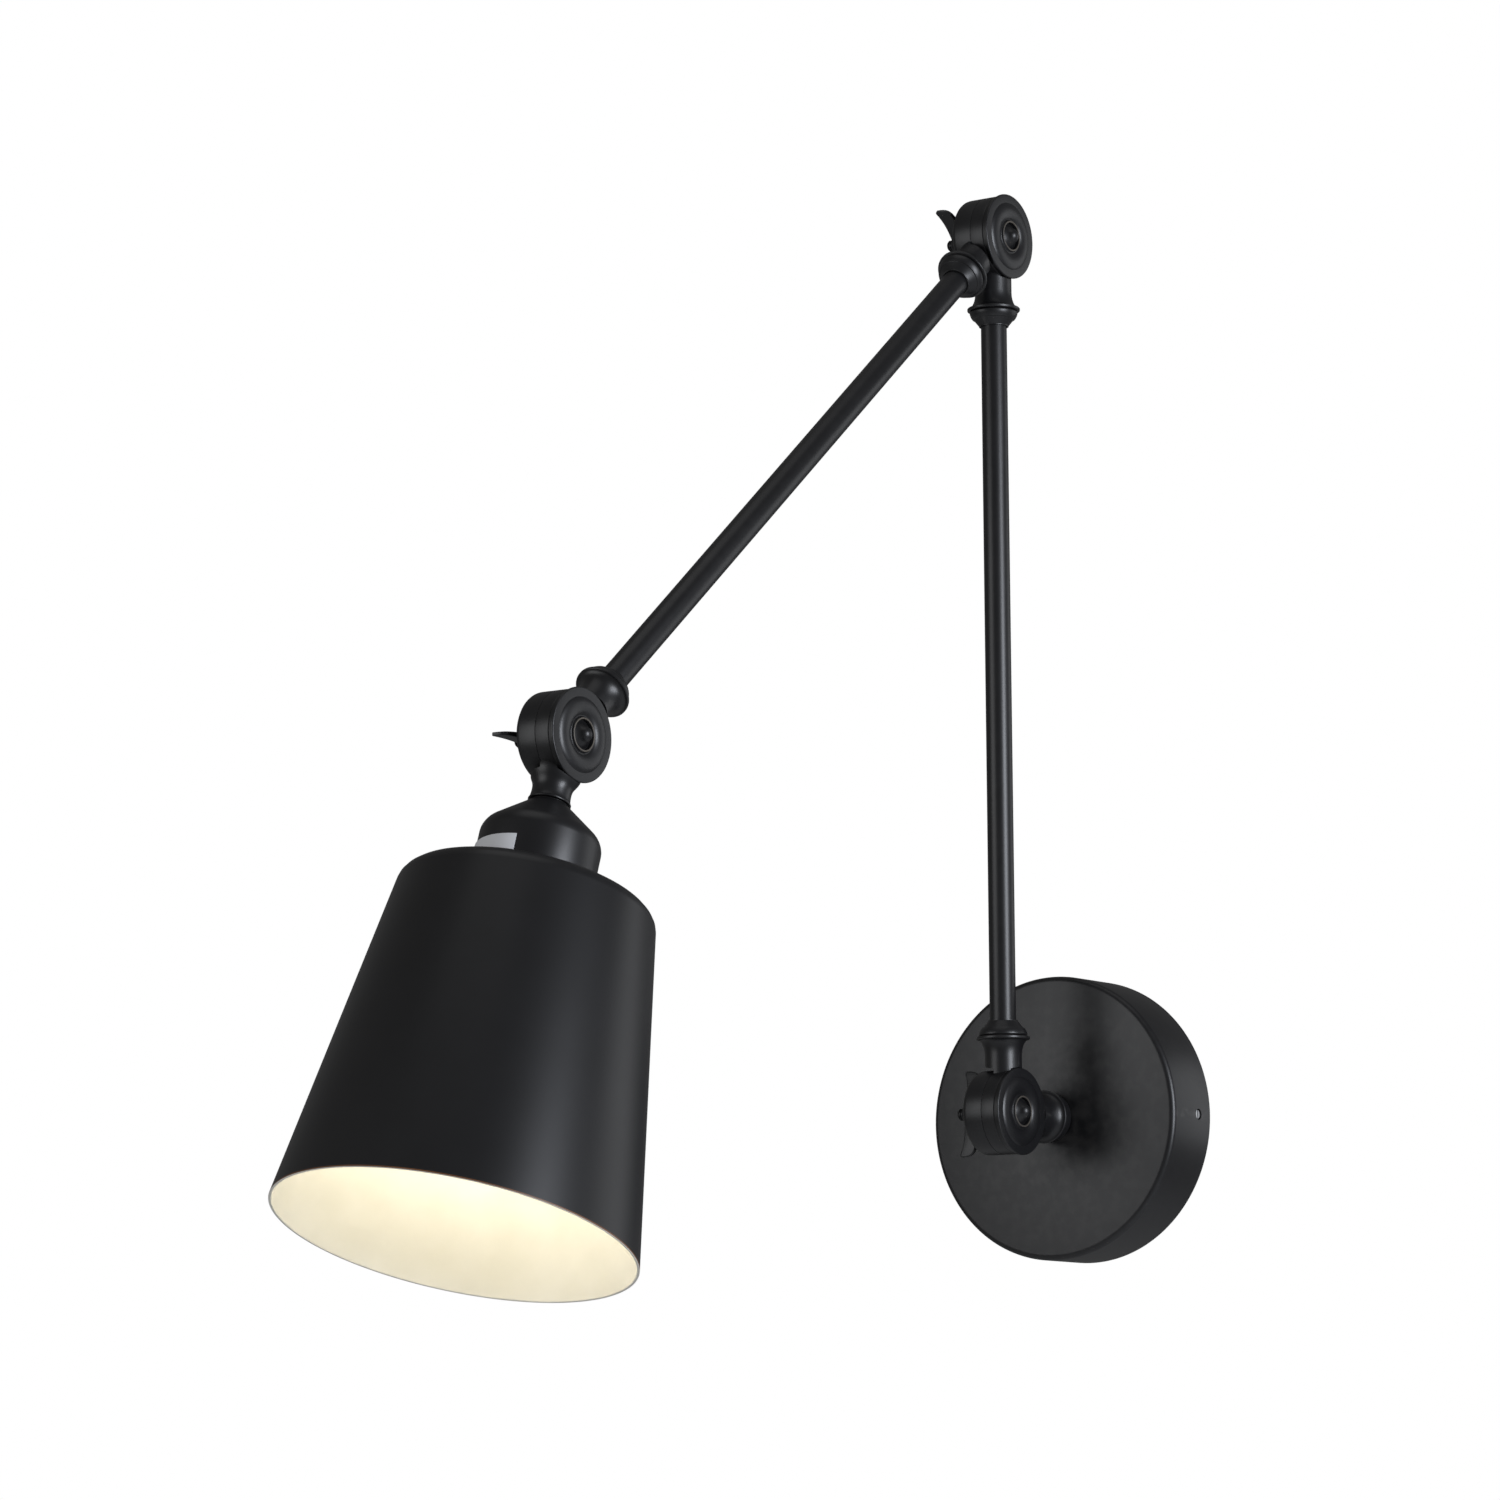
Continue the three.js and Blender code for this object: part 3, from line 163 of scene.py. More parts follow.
@dataclass(frozen=True)
class Seat:
    """A point and the lean of what stands on it.

    Attributes:
        point: Where the piece's own origin goes.
        lean: Radians forward of straight up, about an axis along X.
    """

    point: Vector
    lean: float = 0.0

    def matrix(self) -> Matrix:
        """The transform from the piece's own axes to the light's."""
        return Matrix.Translation(self.point) @ Matrix.Rotation(self.lean, 4, "X")

    def turned_back(self) -> "Seat":
        """The same point, facing the other way."""
        return Seat(self.point, self.lean + math.pi)


def lean_between(start: Vector, end: Vector) -> float:
    """How far a line in the arms' plane leans forward of straight up.

    Args:
        start: The line's lower or inner end.
        end: Its other end.

    Returns:
        The lean in radians.
    """
    return math.atan2(start.y - end.y, end.z - start.z)


def pivot_of(joint: str) -> Vector:
    """The pivot of a joint at rest.

    Args:
        joint: The joint's name in the record.

    Returns:
        Its point, in metres.
    """
    return next(Vector(row["pos_m"]) for row in frame["joints"] if row["name"] == joint)


def middle_of(node: str) -> Vector:
    """The middle of a node's box."""
    low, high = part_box(node)
    return (low + high) / 2


# ------------------------------------------------------------------ shaping tools


@dataclass(frozen=True)
class Corner:
    """One corner of a turned outline.

    Attributes:
        radius: Distance from the turning axis.
        height: Distance along it.
        soften: How far back from the corner its rounding starts; 0 keeps it sharp.
    """

    radius: float
    height: float
    soften: float = 0.0


def bend(start: Point, start_pull: Point, end_pull: Point, end: Point, count: int = 12) -> list[Corner]:
    """A smooth stretch of an outline, as one cubic curve.

    Args:
        start: Radius and height of its first point.
        start_pull: The point that the curve sets out towards.
        end_pull: The point that it arrives from.
        end: Its last point.
        count: How many corners it gets.

    Returns:
        The corners along it.
    """
    points = interpolate_bezier(Vector(start), Vector(start_pull), Vector(end_pull), Vector(end), count)
    return [Corner(point.x, point.y) for point in points]


def quarter(start: Point, end: Point, count: int = 10) -> list[Corner]:
    """A quarter ellipse that leaves start along the axis and reaches end square to it.

    Args:
        start: Radius and height of its first point.
        end: Radius and height of its last point.
        count: How many corners it gets.

    Returns:
        The corners along it.
    """
    pull = 0.5523  # makes a cubic curve follow a quarter circle
    start_pull = (start[0], start[1] + pull * (end[1] - start[1]))
    end_pull = (end[0] - pull * (end[0] - start[0]), end[1])
    return bend(start, start_pull, end_pull, end, count)


def grooves(radius: float, depth: float, start: float, end: float, pitch: float) -> list[Corner]:
    """The outline of a thread, as even grooves between two heights.

    Args:
        radius: The thread's outer radius.
        depth: How deep its grooves are.
        start: Height of the first crest.
        end: The height that the crests stop short of.
        pitch: Distance from crest to crest; it has the sign of end - start.

    Returns:
        The corners along it.
    """
    corners = []
    for turn in range(int((end - start) / pitch)):
        crest = start + turn * pitch
        corners.append(Corner(radius, crest + 0.1 * pitch))
        corners.append(Corner(radius, crest + 0.3 * pitch))
        corners.append(Corner(radius - depth, crest + 0.6 * pitch))
        corners.append(Corner(radius - depth, crest + 0.8 * pitch))
    return corners


def tidied(mesh: BMesh) -> BMesh:
    """Merges a mesh's doubles and turns its faces outwards.

    Args:
        mesh: The mesh, which is changed.

    Returns:
        The same mesh.
    """
    bmesh.ops.remove_doubles(mesh, verts=mesh.verts[:], dist=MERGE_DISTANCE)
    bmesh.ops.recalc_face_normals(mesh, faces=mesh.faces[:])
    return mesh


def outline_of(corners: Sequence[Corner], closed: bool) -> BMesh:
    """An outline in the XZ plane, with its corners softened.

    Args:
        corners: The outline's corners in order.
        closed: Whether the last corner joins the first.

    Returns:
        The outline as a mesh of edges.
    """
    mesh = bmesh.new()
    points = [mesh.verts.new((corner.radius, 0, corner.height)) for corner in corners]
    pairs = list(zip(points, points[1:]))
    if closed:
        pairs.append((points[-1], points[0]))
    for pair in pairs:
        mesh.edges.new(pair)
    for corner, point in zip(corners, points):
        if corner.soften > 0:
            bmesh.ops.bevel(
                mesh, geom=[point], offset=corner.soften, offset_type="OFFSET",
                affect="VERTICES", segments=5, profile=0.5, material=-1,
            )
    return mesh


def turned(corners: Sequence[Corner], steps: Steps) -> BMesh:
    """A solid turned about Z.

    Args:
        corners: Its outline, which starts and ends on the axis or is closed on itself.
        steps: How many steps the full turn has.

    Returns:
        The closed solid.
    """
    mesh = outline_of(corners, closed=corners[0].radius > 0)
    bmesh.ops.spin(
        mesh, geom=mesh.verts[:] + mesh.edges[:], cent=(0, 0, 0), axis=(0, 0, 1), dvec=(0, 0, 0),
        angle=FULL_TURN, steps=steps.value, use_merge=True, use_duplicate=False,
    )
    return tidied(mesh)


def rod(radius: float, start: float, end: float, steps: Steps) -> BMesh:
    """A plain rod about Z between two heights."""
    return turned([Corner(0, start), Corner(radius, start), Corner(radius, end), Corner(0, end)], steps)


def block(low: Sequence[float], high: Sequence[float]) -> BMesh:
    """A box between two corners.

    Args:
        low: Its lowest corner.
        high: Its highest corner.

    Returns:
        The closed solid.
    """
    mesh = bmesh.new()
    bmesh.ops.create_cube(mesh, size=1)
    size = Vector(high) - Vector(low)
    bmesh.ops.scale(mesh, vec=size, verts=mesh.verts[:])
    bmesh.ops.translate(mesh, vec=(Vector(low) + Vector(high)) / 2, verts=mesh.verts[:])
    return mesh


def laid(mesh: BMesh) -> BMesh:
    """Lays a solid turned about Z along X, with its heights as distances along +X."""
    mesh.transform(Matrix.Rotation(math.pi / 2, 4, "Y"))
    return mesh


def moved(mesh: BMesh, *offset: float) -> BMesh:
    """Moves a mesh along X, Y and Z."""
    mesh.transform(Matrix.Translation(offset))
    return mesh


def shaped(body: BMesh, how: Shaping, *tools: BMesh) -> BMesh:
    """A solid joined with, cut by or cut down to others. All of them are used up.

    Args:
        body: The solid to start from.
        how: What each tool does to it.
        *tools: The other solids, in order.

    Returns:
        The closed solid that results.
    """
    collection = bpy.context.scene.collection.objects
    for tool in tools:
        blanks = []
        for mesh in (body, tool):
            data = bpy.data.meshes.new("blank")
            mesh.to_mesh(data)
            mesh.free()
            blanks.append(bpy.data.objects.new("blank", data))
            collection.link(blanks[-1])
        modifier = blanks[0].modifiers.new("shaping", "BOOLEAN")
        modifier.operation = how.value
        modifier.solver = "MANIFOLD"
        modifier.object = blanks[1]
        body = bmesh.new()
        body.from_object(blanks[0], bpy.context.evaluated_depsgraph_get())
        for blank in blanks:
            data = blank.data
            bpy.data.objects.remove(blank)
            bpy.data.meshes.remove(data)
    return body


def refined(node: str, soften: float = 0.0) -> BMesh:
    """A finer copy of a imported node: its flats made whole and its square edges softened.

    Args:
        node: The node's name.
        soften: How wide the softened edges are; 0 keeps them sharp.

    Returns:
        The copy, in the light's own axes.
    """
    mesh = bmesh.new()
    mesh.from_mesh(frame["nodes"][node].data)
    bmesh.ops.remove_doubles(mesh, verts=mesh.verts[:], dist=MERGE_DISTANCE)
    flat = math.radians(1)
    bmesh.ops.dissolve_limit(mesh, angle_limit=flat, verts=mesh.verts[:], edges=mesh.edges[:])
    if soften > 0:
        square = math.radians(60)
        edges = [edge for edge in mesh.edges if edge.is_manifold and edge.calc_face_angle() > square]
        bmesh.ops.bevel(
            mesh, geom=edges, offset=soften, offset_type="OFFSET", affect="EDGES", segments=2,
            profile=0.5, material=-1, clamp_overlap=True,
        )
    return mesh


# ------------------------------------------------------------------ shader nodes


class Shared(Enum):
    """The effects that more than one finish uses, each built once as a node group."""

    EDGE_WEAR = "edge_wear"
    FINE_GRAIN = "fine_grain"
    SETTLED_DUST = "settled_dust"
    BRUSHING = "brushing"


class Mix(Enum):
    """Socket places on a colour Mix node."""

    FACTOR = 0
    FIRST = 6
    SECOND = 7
    RESULT = 2


def add_node(tree: bpy.types.NodeTree, kind: str, **settings: object) -> bpy.types.Node:
    """Adds a node to a tree.

    Args:
        tree: The tree.
        kind: The node's type.
        **settings: Values for its properties.

    Returns:
        The node.
    """
    node = tree.nodes.new(kind)
    for name, value in settings.items():
        setattr(node, name, value)
    return node


def feed(tree: bpy.types.NodeTree, socket: bpy.types.NodeSocket, value: object) -> None:
    """Links a socket to another one, or sets it to a plain value."""
    if isinstance(value, bpy.types.NodeSocket):
        tree.links.new(value, socket)
    else:
        socket.default_value = value


def noise(tree: bpy.types.NodeTree, place: object, scale: object, detail: float) -> bpy.types.NodeSocket:
    """A noise value over a surface.

    Args:
        tree: The tree to build in.
        place: The socket of the coordinates it reads.
        scale: Its scale, as a value or a socket.
        detail: How many octaves it has.

    Returns:
        The socket of its value, from 0 to 1.
    """
    node = add_node(tree, "ShaderNodeTexNoise")
    feed(tree, node.inputs["Vector"], place)
    feed(tree, node.inputs["Scale"], scale)
    feed(tree, node.inputs["Detail"], detail)
    return node.outputs["Fac"]


def ranged(tree: bpy.types.NodeTree, value: object, low: float, high: float,
           new_low: object = 0.0, new_high: object = 1.0) -> bpy.types.NodeSocket:
    """A value carried from one range to another, and held inside it.

    Args:
        tree: The tree to build in.
        value: The socket of the value.
        low: The range's lower end.
        high: Its upper end.
        new_low: What the lower end becomes, as a value or a socket.
        new_high: What the upper end becomes, as a value or a socket.

    Returns:
        The socket of the new value.
    """
    node = add_node(tree, "ShaderNodeMapRange", clamp=True)
    for name, item in (("Value", value), ("From Min", low), ("From Max", high),
                       ("To Min", new_low), ("To Max", new_high)):
        feed(tree, node.inputs[name], item)
    return node.outputs["Result"]


def worked(tree: bpy.types.NodeTree, operation: str, first: object, second: object) -> bpy.types.NodeSocket:
    """The result of one Math node on two values or sockets."""
    node = add_node(tree, "ShaderNodeMath", operation=operation)
    feed(tree, node.inputs[0], first)
    feed(tree, node.inputs[1], second)
    return node.outputs[0]


def mixed(tree: bpy.types.NodeTree, share: object, first: object, second: object) -> bpy.types.NodeSocket:
    """One colour mixed into another.

    Args:
        tree: The tree to build in.
        share: How much of the second colour shows, as a value or a socket.
        first: The first colour, as a value or a socket.
        second: The second colour.

    Returns:
        The socket of the mixed colour.
    """
    node = add_node(tree, "ShaderNodeMix", data_type="RGBA")
    feed(tree, node.inputs[Mix.FACTOR.value], share)
    feed(tree, node.inputs[Mix.FIRST.value], first)
    feed(tree, node.inputs[Mix.SECOND.value], second)
    return node.outputs[Mix.RESULT.value]


def opaque(colour: Colour) -> tuple[float, float, float, float]:
    """A colour with full alpha, as colour sockets take it."""
    return (*colour, 1.0)


def new_group(effect: Shared, inputs: Sequence[str], outputs: Sequence[str]) -> bpy.types.NodeTree:
    """An empty node group with number sockets.

    Args:
        effect: The effect it holds.
        inputs: The names of its inputs.
        outputs: The names of its outputs.

    Returns:
        The group.
    """
    group = bpy.data.node_groups.new(effect.value, "ShaderNodeTree")
    for name in inputs:
        group.interface.new_socket(name=name, in_out="INPUT", socket_type="NodeSocketFloat")
    for name in outputs:
        group.interface.new_socket(name=name, in_out="OUTPUT", socket_type="NodeSocketFloat")
    add_node(group, "NodeGroupInput", name="given")
    add_node(group, "NodeGroupOutput", name="result")
    return group


def object_place(tree: bpy.types.NodeTree) -> bpy.types.NodeSocket:
    """The object's own coordinates, in metres."""
    return add_node(tree, "ShaderNodeTexCoord").outputs["Object"]


def build_edge_wear() -> None:
    """Outer edges rubbed thin, in patches. It puts out Mask."""
    group = new_group(Shared.EDGE_WEAR, ("Amount", "Scale"), ("Mask",))
    given, result = group.nodes["given"], group.nodes["result"]
    edges = ranged(group, add_node(group, "ShaderNodeNewGeometry").outputs["Pointiness"], 0.515, 0.60)
    patches = ranged(group, noise(group, object_place(group), given.outputs["Scale"], 4.0), 0.42, 0.66)
    mask = worked(group, "MULTIPLY", worked(group, "MULTIPLY", edges, patches), given.outputs["Amount"])
    feed(group, result.inputs["Mask"], mask)


def build_fine_grain() -> None:
    """A sprayed or moulded skin: slow drifts of gloss and a fine rounded texture."""
    group = new_group(Shared.FINE_GRAIN, ("Scale", "Roughness", "Spread"), ("Roughness", "Height"))
    given, result = group.nodes["given"], group.nodes["result"]
    place = object_place(group)
    drift = ranged(group, noise(group, place, 34.0, 3.0), 0.3, 0.7, -1.0, 1.0)
    speckle = ranged(group, noise(group, place, given.outputs["Scale"], 2.0), 0.3, 0.7, -0.5, 0.5)
    spread = worked(group, "MULTIPLY", worked(group, "ADD", drift, speckle), given.outputs["Spread"])
    feed(group, result.inputs["Roughness"], worked(group, "ADD", given.outputs["Roughness"], spread))
    feed(group, result.inputs["Height"], noise(group, place, given.outputs["Scale"], 2.5))


def build_settled_dust() -> None:
    """A thin film of dust on what faces up at rest. It puts out Mask."""
    group = new_group(Shared.SETTLED_DUST, ("Amount", "Scale"), ("Mask",))
    given, result = group.nodes["given"], group.nodes["result"]
    coordinates = add_node(group, "ShaderNodeTexCoord")
    parts = add_node(group, "ShaderNodeSeparateXYZ")
    feed(group, parts.inputs[0], coordinates.outputs["Normal"])
    upward = ranged(group, parts.outputs["Z"], 0.35, 1.0)
    blotches = noise(group, coordinates.outputs["Object"], given.outputs["Scale"], 5.0)
    patches = ranged(group, blotches, 0.35, 0.7)
    mask = worked(group, "MULTIPLY", worked(group, "MULTIPLY", upward, patches), given.outputs["Amount"])
    feed(group, result.inputs["Mask"], mask)


def build_brushing() -> None:
    """Fine streaks along one direction of the object, for drawn or rubbed metal."""
    group = new_group(Shared.BRUSHING, ("Stretch X", "Stretch Y", "Stretch Z"), ("Streak",))
    given, result = group.nodes["given"], group.nodes["result"]
    stretch = add_node(group, "ShaderNodeCombineXYZ")
    for axis in "XYZ":
        feed(group, stretch.inputs[axis], given.outputs[f"Stretch {axis}"])
    scaled = add_node(group, "ShaderNodeVectorMath", operation="MULTIPLY")
    feed(group, scaled.inputs[0], object_place(group))
    feed(group, scaled.inputs[1], stretch.outputs[0])
    feed(group, result.inputs["Streak"], noise(group, scaled.outputs[0], 1.0, 3.0))


def effect(tree: bpy.types.NodeTree, which: Shared, **values: object) -> bpy.types.Node:
    """Places a shared effect in a material.

    Args:
        tree: The material's tree.
        which: The effect.
        **values: Its inputs, with underscores for spaces.

    Returns:
        The group node.
    """
    node = add_node(tree, "ShaderNodeGroup", node_tree=bpy.data.node_groups[which.value])
    for name, value in values.items():
        feed(tree, node.inputs[name.replace("_", " ")], value)
    return node


# ------------------------------------------------------------------ finishes


@dataclass(frozen=True)
class Finish:
    """What every finish shares: a coloured skin with a fine grain.

    Attributes:
        name: The material's name.
        colour: Its main colour.
        second: The colour that patches of it drift towards.
        roughness: Its mean roughness.
        spread: How far the roughness strays.
        grain: Scale of the fine grain, in cells per metre.
        relief: Height of the fine grain, in metres.
        metallic: 0 for a paint, plastic or film, 1 for a bare metal.
    """

    name: str
    colour: Colour
    second: Colour
    roughness: float
    spread: float
    grain: float
    relief: float
    metallic: float = 0.0

    def started(self) -> tuple[bpy.types.Material, bpy.types.NodeTree, bpy.types.Node]:
        """A new material with its tree and its shader."""
        material = bpy.data.materials.new(self.name)
        material.use_nodes = True
        shader = material.node_tree.nodes["Principled BSDF"]
        shader.inputs["Metallic"].default_value = self.metallic
        material.diffuse_color = opaque(self.colour)
        return material, material.node_tree, shader

    def skin(self, tree: bpy.types.NodeTree, shader: bpy.types.Node) -> bpy.types.NodeSocket:
        """Feeds the grain to a shader.

        Args:
            tree: The material's tree.
            shader: Its shader.

        Returns:
            The socket of the drifting base colour, not linked yet.
        """
        grain = effect(
            tree, Shared.FINE_GRAIN, Scale=self.grain, Roughness=self.roughness, Spread=self.spread)
        feed(tree, shader.inputs["Roughness"], grain.outputs["Roughness"])
        bump = add_node(tree, "ShaderNodeBump")
        feed(tree, bump.inputs["Distance"], self.relief)
        feed(tree, bump.inputs["Height"], grain.outputs["Height"])
        feed(tree, shader.inputs["Normal"], bump.outputs["Normal"])
        drift = ranged(tree, noise(tree, object_place(tree), 60.0, 4.0), 0.35, 0.68)
        return mixed(tree, drift, opaque(self.colour), opaque(self.second))

    def build(self) -> bpy.types.Material:
        """The finish as a material."""
        material, tree, shader = self.started()
        feed(tree, shader.inputs["Base Color"], self.skin(tree, shader))
        return material


@dataclass(frozen=True)
class Paint(Finish):
    """A sprayed paint that is rubbed at its edges and holds a little dust.

    Attributes:
        bare: The colour that shows where an edge is rubbed.
        wear: How much of it shows.
        dust: How much dust lies on what faces up.
    """

    bare: Colour = (0.10, 0.095, 0.09)
    wear: float = 0.25
    dust: float = 0.006

    def build(self) -> bpy.types.Material:
        """The finish as a material."""
        material, tree, shader = self.started()
        base = self.skin(tree, shader)
        worn = effect(tree, Shared.EDGE_WEAR, Amount=self.wear, Scale=210.0)
        rubbed = mixed(tree, worn.outputs["Mask"], base, opaque(self.bare))
        dust = effect(tree, Shared.SETTLED_DUST, Amount=self.dust, Scale=95.0)
        dusty = mixed(tree, dust.outputs["Mask"], rubbed, opaque((0.3, 0.29, 0.27)))
        feed(tree, shader.inputs["Base Color"], dusty)
        return material


@dataclass(frozen=True)
class Metal(Finish):
    """A bare or plated metal with fine streaks.

    Attributes:
        streaks: How many streaks there are per metre along X, Y and Z.
        tarnish: The colour of its dull streaks and patches.
    """

    metallic: float = 1.0
    streaks: Colour = (90.0, 2200.0, 2200.0)
    tarnish: Colour = (0.3, 0.3, 0.31)

    def build(self) -> bpy.types.Material:
        """The finish as a material."""
        material, tree, shader = self.started()
        base = self.skin(tree, shader)
        along, across, up = self.streaks
        streak = effect(tree, Shared.BRUSHING, Stretch_X=along, Stretch_Y=across, Stretch_Z=up)
        dull = ranged(tree, streak.outputs["Streak"], 0.5, 0.72, 0.0, 0.45)
        feed(tree, shader.inputs["Base Color"], mixed(tree, dull, base, opaque(self.tarnish)))
        return material


@dataclass(frozen=True)
class LitGlass(Finish):
    """Frosted glass with a lamp burning inside it.

    Attributes:
        hot: The colour of its light at the crown.
        warm: The colour of its light towards the cap.
        power: How strongly it shines.
        centre: The middle of its globe, in the light's own axes.
        reach: The globe's radius.
    """

    hot: Colour = (1.0, 0.93, 0.78)
    warm: Colour = (1.0, 0.82, 0.55)
    power: float = 4.0
    centre: tuple[float, float, float] = (0.0, 0.0, 0.0)
    reach: float = 0.03

    def build(self) -> bpy.types.Material:
        """The finish as a material."""
        material, tree, shader = self.started()
        feed(tree, shader.inputs["Base Color"], self.skin(tree, shader))
        shift = add_node(tree, "ShaderNodeMapping")
        feed(tree, shift.inputs["Vector"], object_place(tree))
        shift.inputs["Location"].default_value = [-value for value in self.centre]
        distance = add_node(tree, "ShaderNodeVectorMath", operation="LENGTH")
        feed(tree, distance.inputs[0], shift.outputs[0])
        far = ranged(tree, distance.outputs["Value"], self.reach, 2 * self.reach)
        feed(tree, shader.inputs["Emission Color"], mixed(tree, far, opaque(self.hot), opaque(self.warm)))
        shader.inputs["Emission Strength"].default_value = self.power
        return material


# ------------------------------------------------------------------ pieces


def mesh_object(name: str, mesh: BMesh, seat: Seat | None) -> bpy.types.Object:
    """A smooth-shaded object from a mesh, with its place in its mesh.

    Args:
        name: The object's name.
        mesh: Its mesh, which is used up.
        seat: Where it stands; None leaves it where it is.

    Returns:
        The object, at the origin.
    """
    if seat is not None:
        mesh.transform(seat.matrix())
    data = bpy.data.meshes.new(name)
    mesh.to_mesh(data)
    mesh.free()
    data.shade_smooth()
    data.set_sharp_from_angle(angle=math.radians(32))
    obj = bpy.data.objects.new(name, data)
    bpy.context.scene.collection.objects.link(obj)
    return obj


@dataclass(frozen=True)
class Assembly:
    """A sub-assembly: it adds its pieces to the light, dressed.

    Attributes:
        palette: The finishes that its pieces take.
    """

    palette: "Palette"

    def add(self, node: str, mesh: BMesh, seat: Seat | None, body: Body, slot: Slot) -> bpy.types.Object:
        """Adds a finished piece that stands for one node.

        Args:
            node: The node it stands for; the piece is named after it.
            mesh: Its mesh, which is used up.
            seat: Where it stands; None leaves it where it is.
            body: The body that it rides on.
            slot: Its material slot.

        Returns:
            The piece.
        """
        piece = mesh_object(f"{node}_piece", mesh, seat)
        piece.data.materials.append(self.palette.of(slot))
        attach(piece, body.value)
        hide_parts(node)
        log.info("%s on %s, %d faces", piece.name, body.value, len(piece.data.polygons))
        return piece


class Palette:
    """All the finishes of the light, built once."""

    def __init__(self, bulb_centre: Vector) -> None:
        """Builds the shared effects and every finish.

        Args:
            bulb_centre: The middle of the bulb's globe.
        """
        for build in (build_edge_wear, build_fine_grain, build_settled_dust, build_brushing):
            build()
        finishes = {
            Slot.BLACK_PAINT: Paint(
                "satin_black_paint", (0.007, 0.007, 0.0078), (0.0082, 0.0082, 0.0092),
                0.37, 0.006, 2400.0, 0.000003),
            Slot.STEEL: Metal(
                "zinc_plate", (0.52, 0.53, 0.55), (0.45, 0.455, 0.46), 0.34, 0.06, 900.0, 0.00001),
            Slot.BRASS: Metal(
                "brass", (0.70, 0.50, 0.22), (0.60, 0.41, 0.17), 0.30, 0.06, 900.0, 0.00001,
                tarnish=(0.35, 0.24, 0.1)),
            Slot.WASHER_FIBRE: Finish(
                "red_fibre", (0.16, 0.055, 0.03), (0.11, 0.04, 0.025), 0.85, 0.06, 1400.0, 0.00004),
            Slot.HOLDER_PLASTIC: Finish(
                "white_thermoplastic", (0.72, 0.70, 0.65), (0.66, 0.64, 0.59),
                0.42, 0.04, 1100.0, 0.00001),
            Slot.TERMINAL_PLASTIC: Finish(
                "natural_nylon", (0.62, 0.60, 0.52), (0.54, 0.52, 0.45), 0.38, 0.05, 800.0, 0.000015),
            Slot.FLEX_SHEATH: Finish(
                "flex_sheath", (0.018, 0.018, 0.019), (0.026, 0.026, 0.027),
                0.55, 0.05, 2200.0, 0.00002),
            Slot.LAMP_CAP: Metal(
                "lamp_cap", (0.62, 0.61, 0.58), (0.55, 0.54, 0.50), 0.28, 0.05, 900.0, 0.000008),
            Slot.BULB_GLASS: LitGlass(
                "lit_frosted_glass", (0.9, 0.89, 0.85), (0.87, 0.86, 0.82), 0.5, 0.04, 1800.0, 0.00001,
                centre=tuple(bulb_centre)),
            Slot.LABEL_FILM: Finish(
                "label_film", (0.80, 0.81, 0.83), (0.74, 0.755, 0.78), 0.36, 0.04, 700.0, 0.00001),
        }
        self.materials = {slot: finish.build() for slot, finish in finishes.items()}
        self.enamel = Finish(
            "white_enamel", (0.86, 0.84, 0.77), (0.82, 0.80, 0.72), 0.38, 0.04, 1300.0, 0.00001).build()
        # A lighter tan colour for the top of the lip round each cap's bolt well.
        self.rubbed = Finish(
            "tan_lip_top", (0.085, 0.073, 0.058), (0.06, 0.052, 0.044), 0.5, 0.03, 1200.0, 0.00001).build()
        # Painted warm glow of the lit bulb, for a thin band round the outside of the shade's mouth.
        self.rim = Finish(
            "painted_bulb_glow_rim", (0.17, 0.075, 0.03), (0.12, 0.05, 0.02), 0.45, 0.05, 1200.0, 0.00001).build()

    def of(self, slot: Slot) -> bpy.types.Material:
        """The material of a slot."""
        return self.materials[slot]


# ------------------------------------------------------------------ knuckles


class Neck(Enum):
    """What a knuckle half's neck ends in."""

    RIM = "rim"
    LAMP = "lamp"


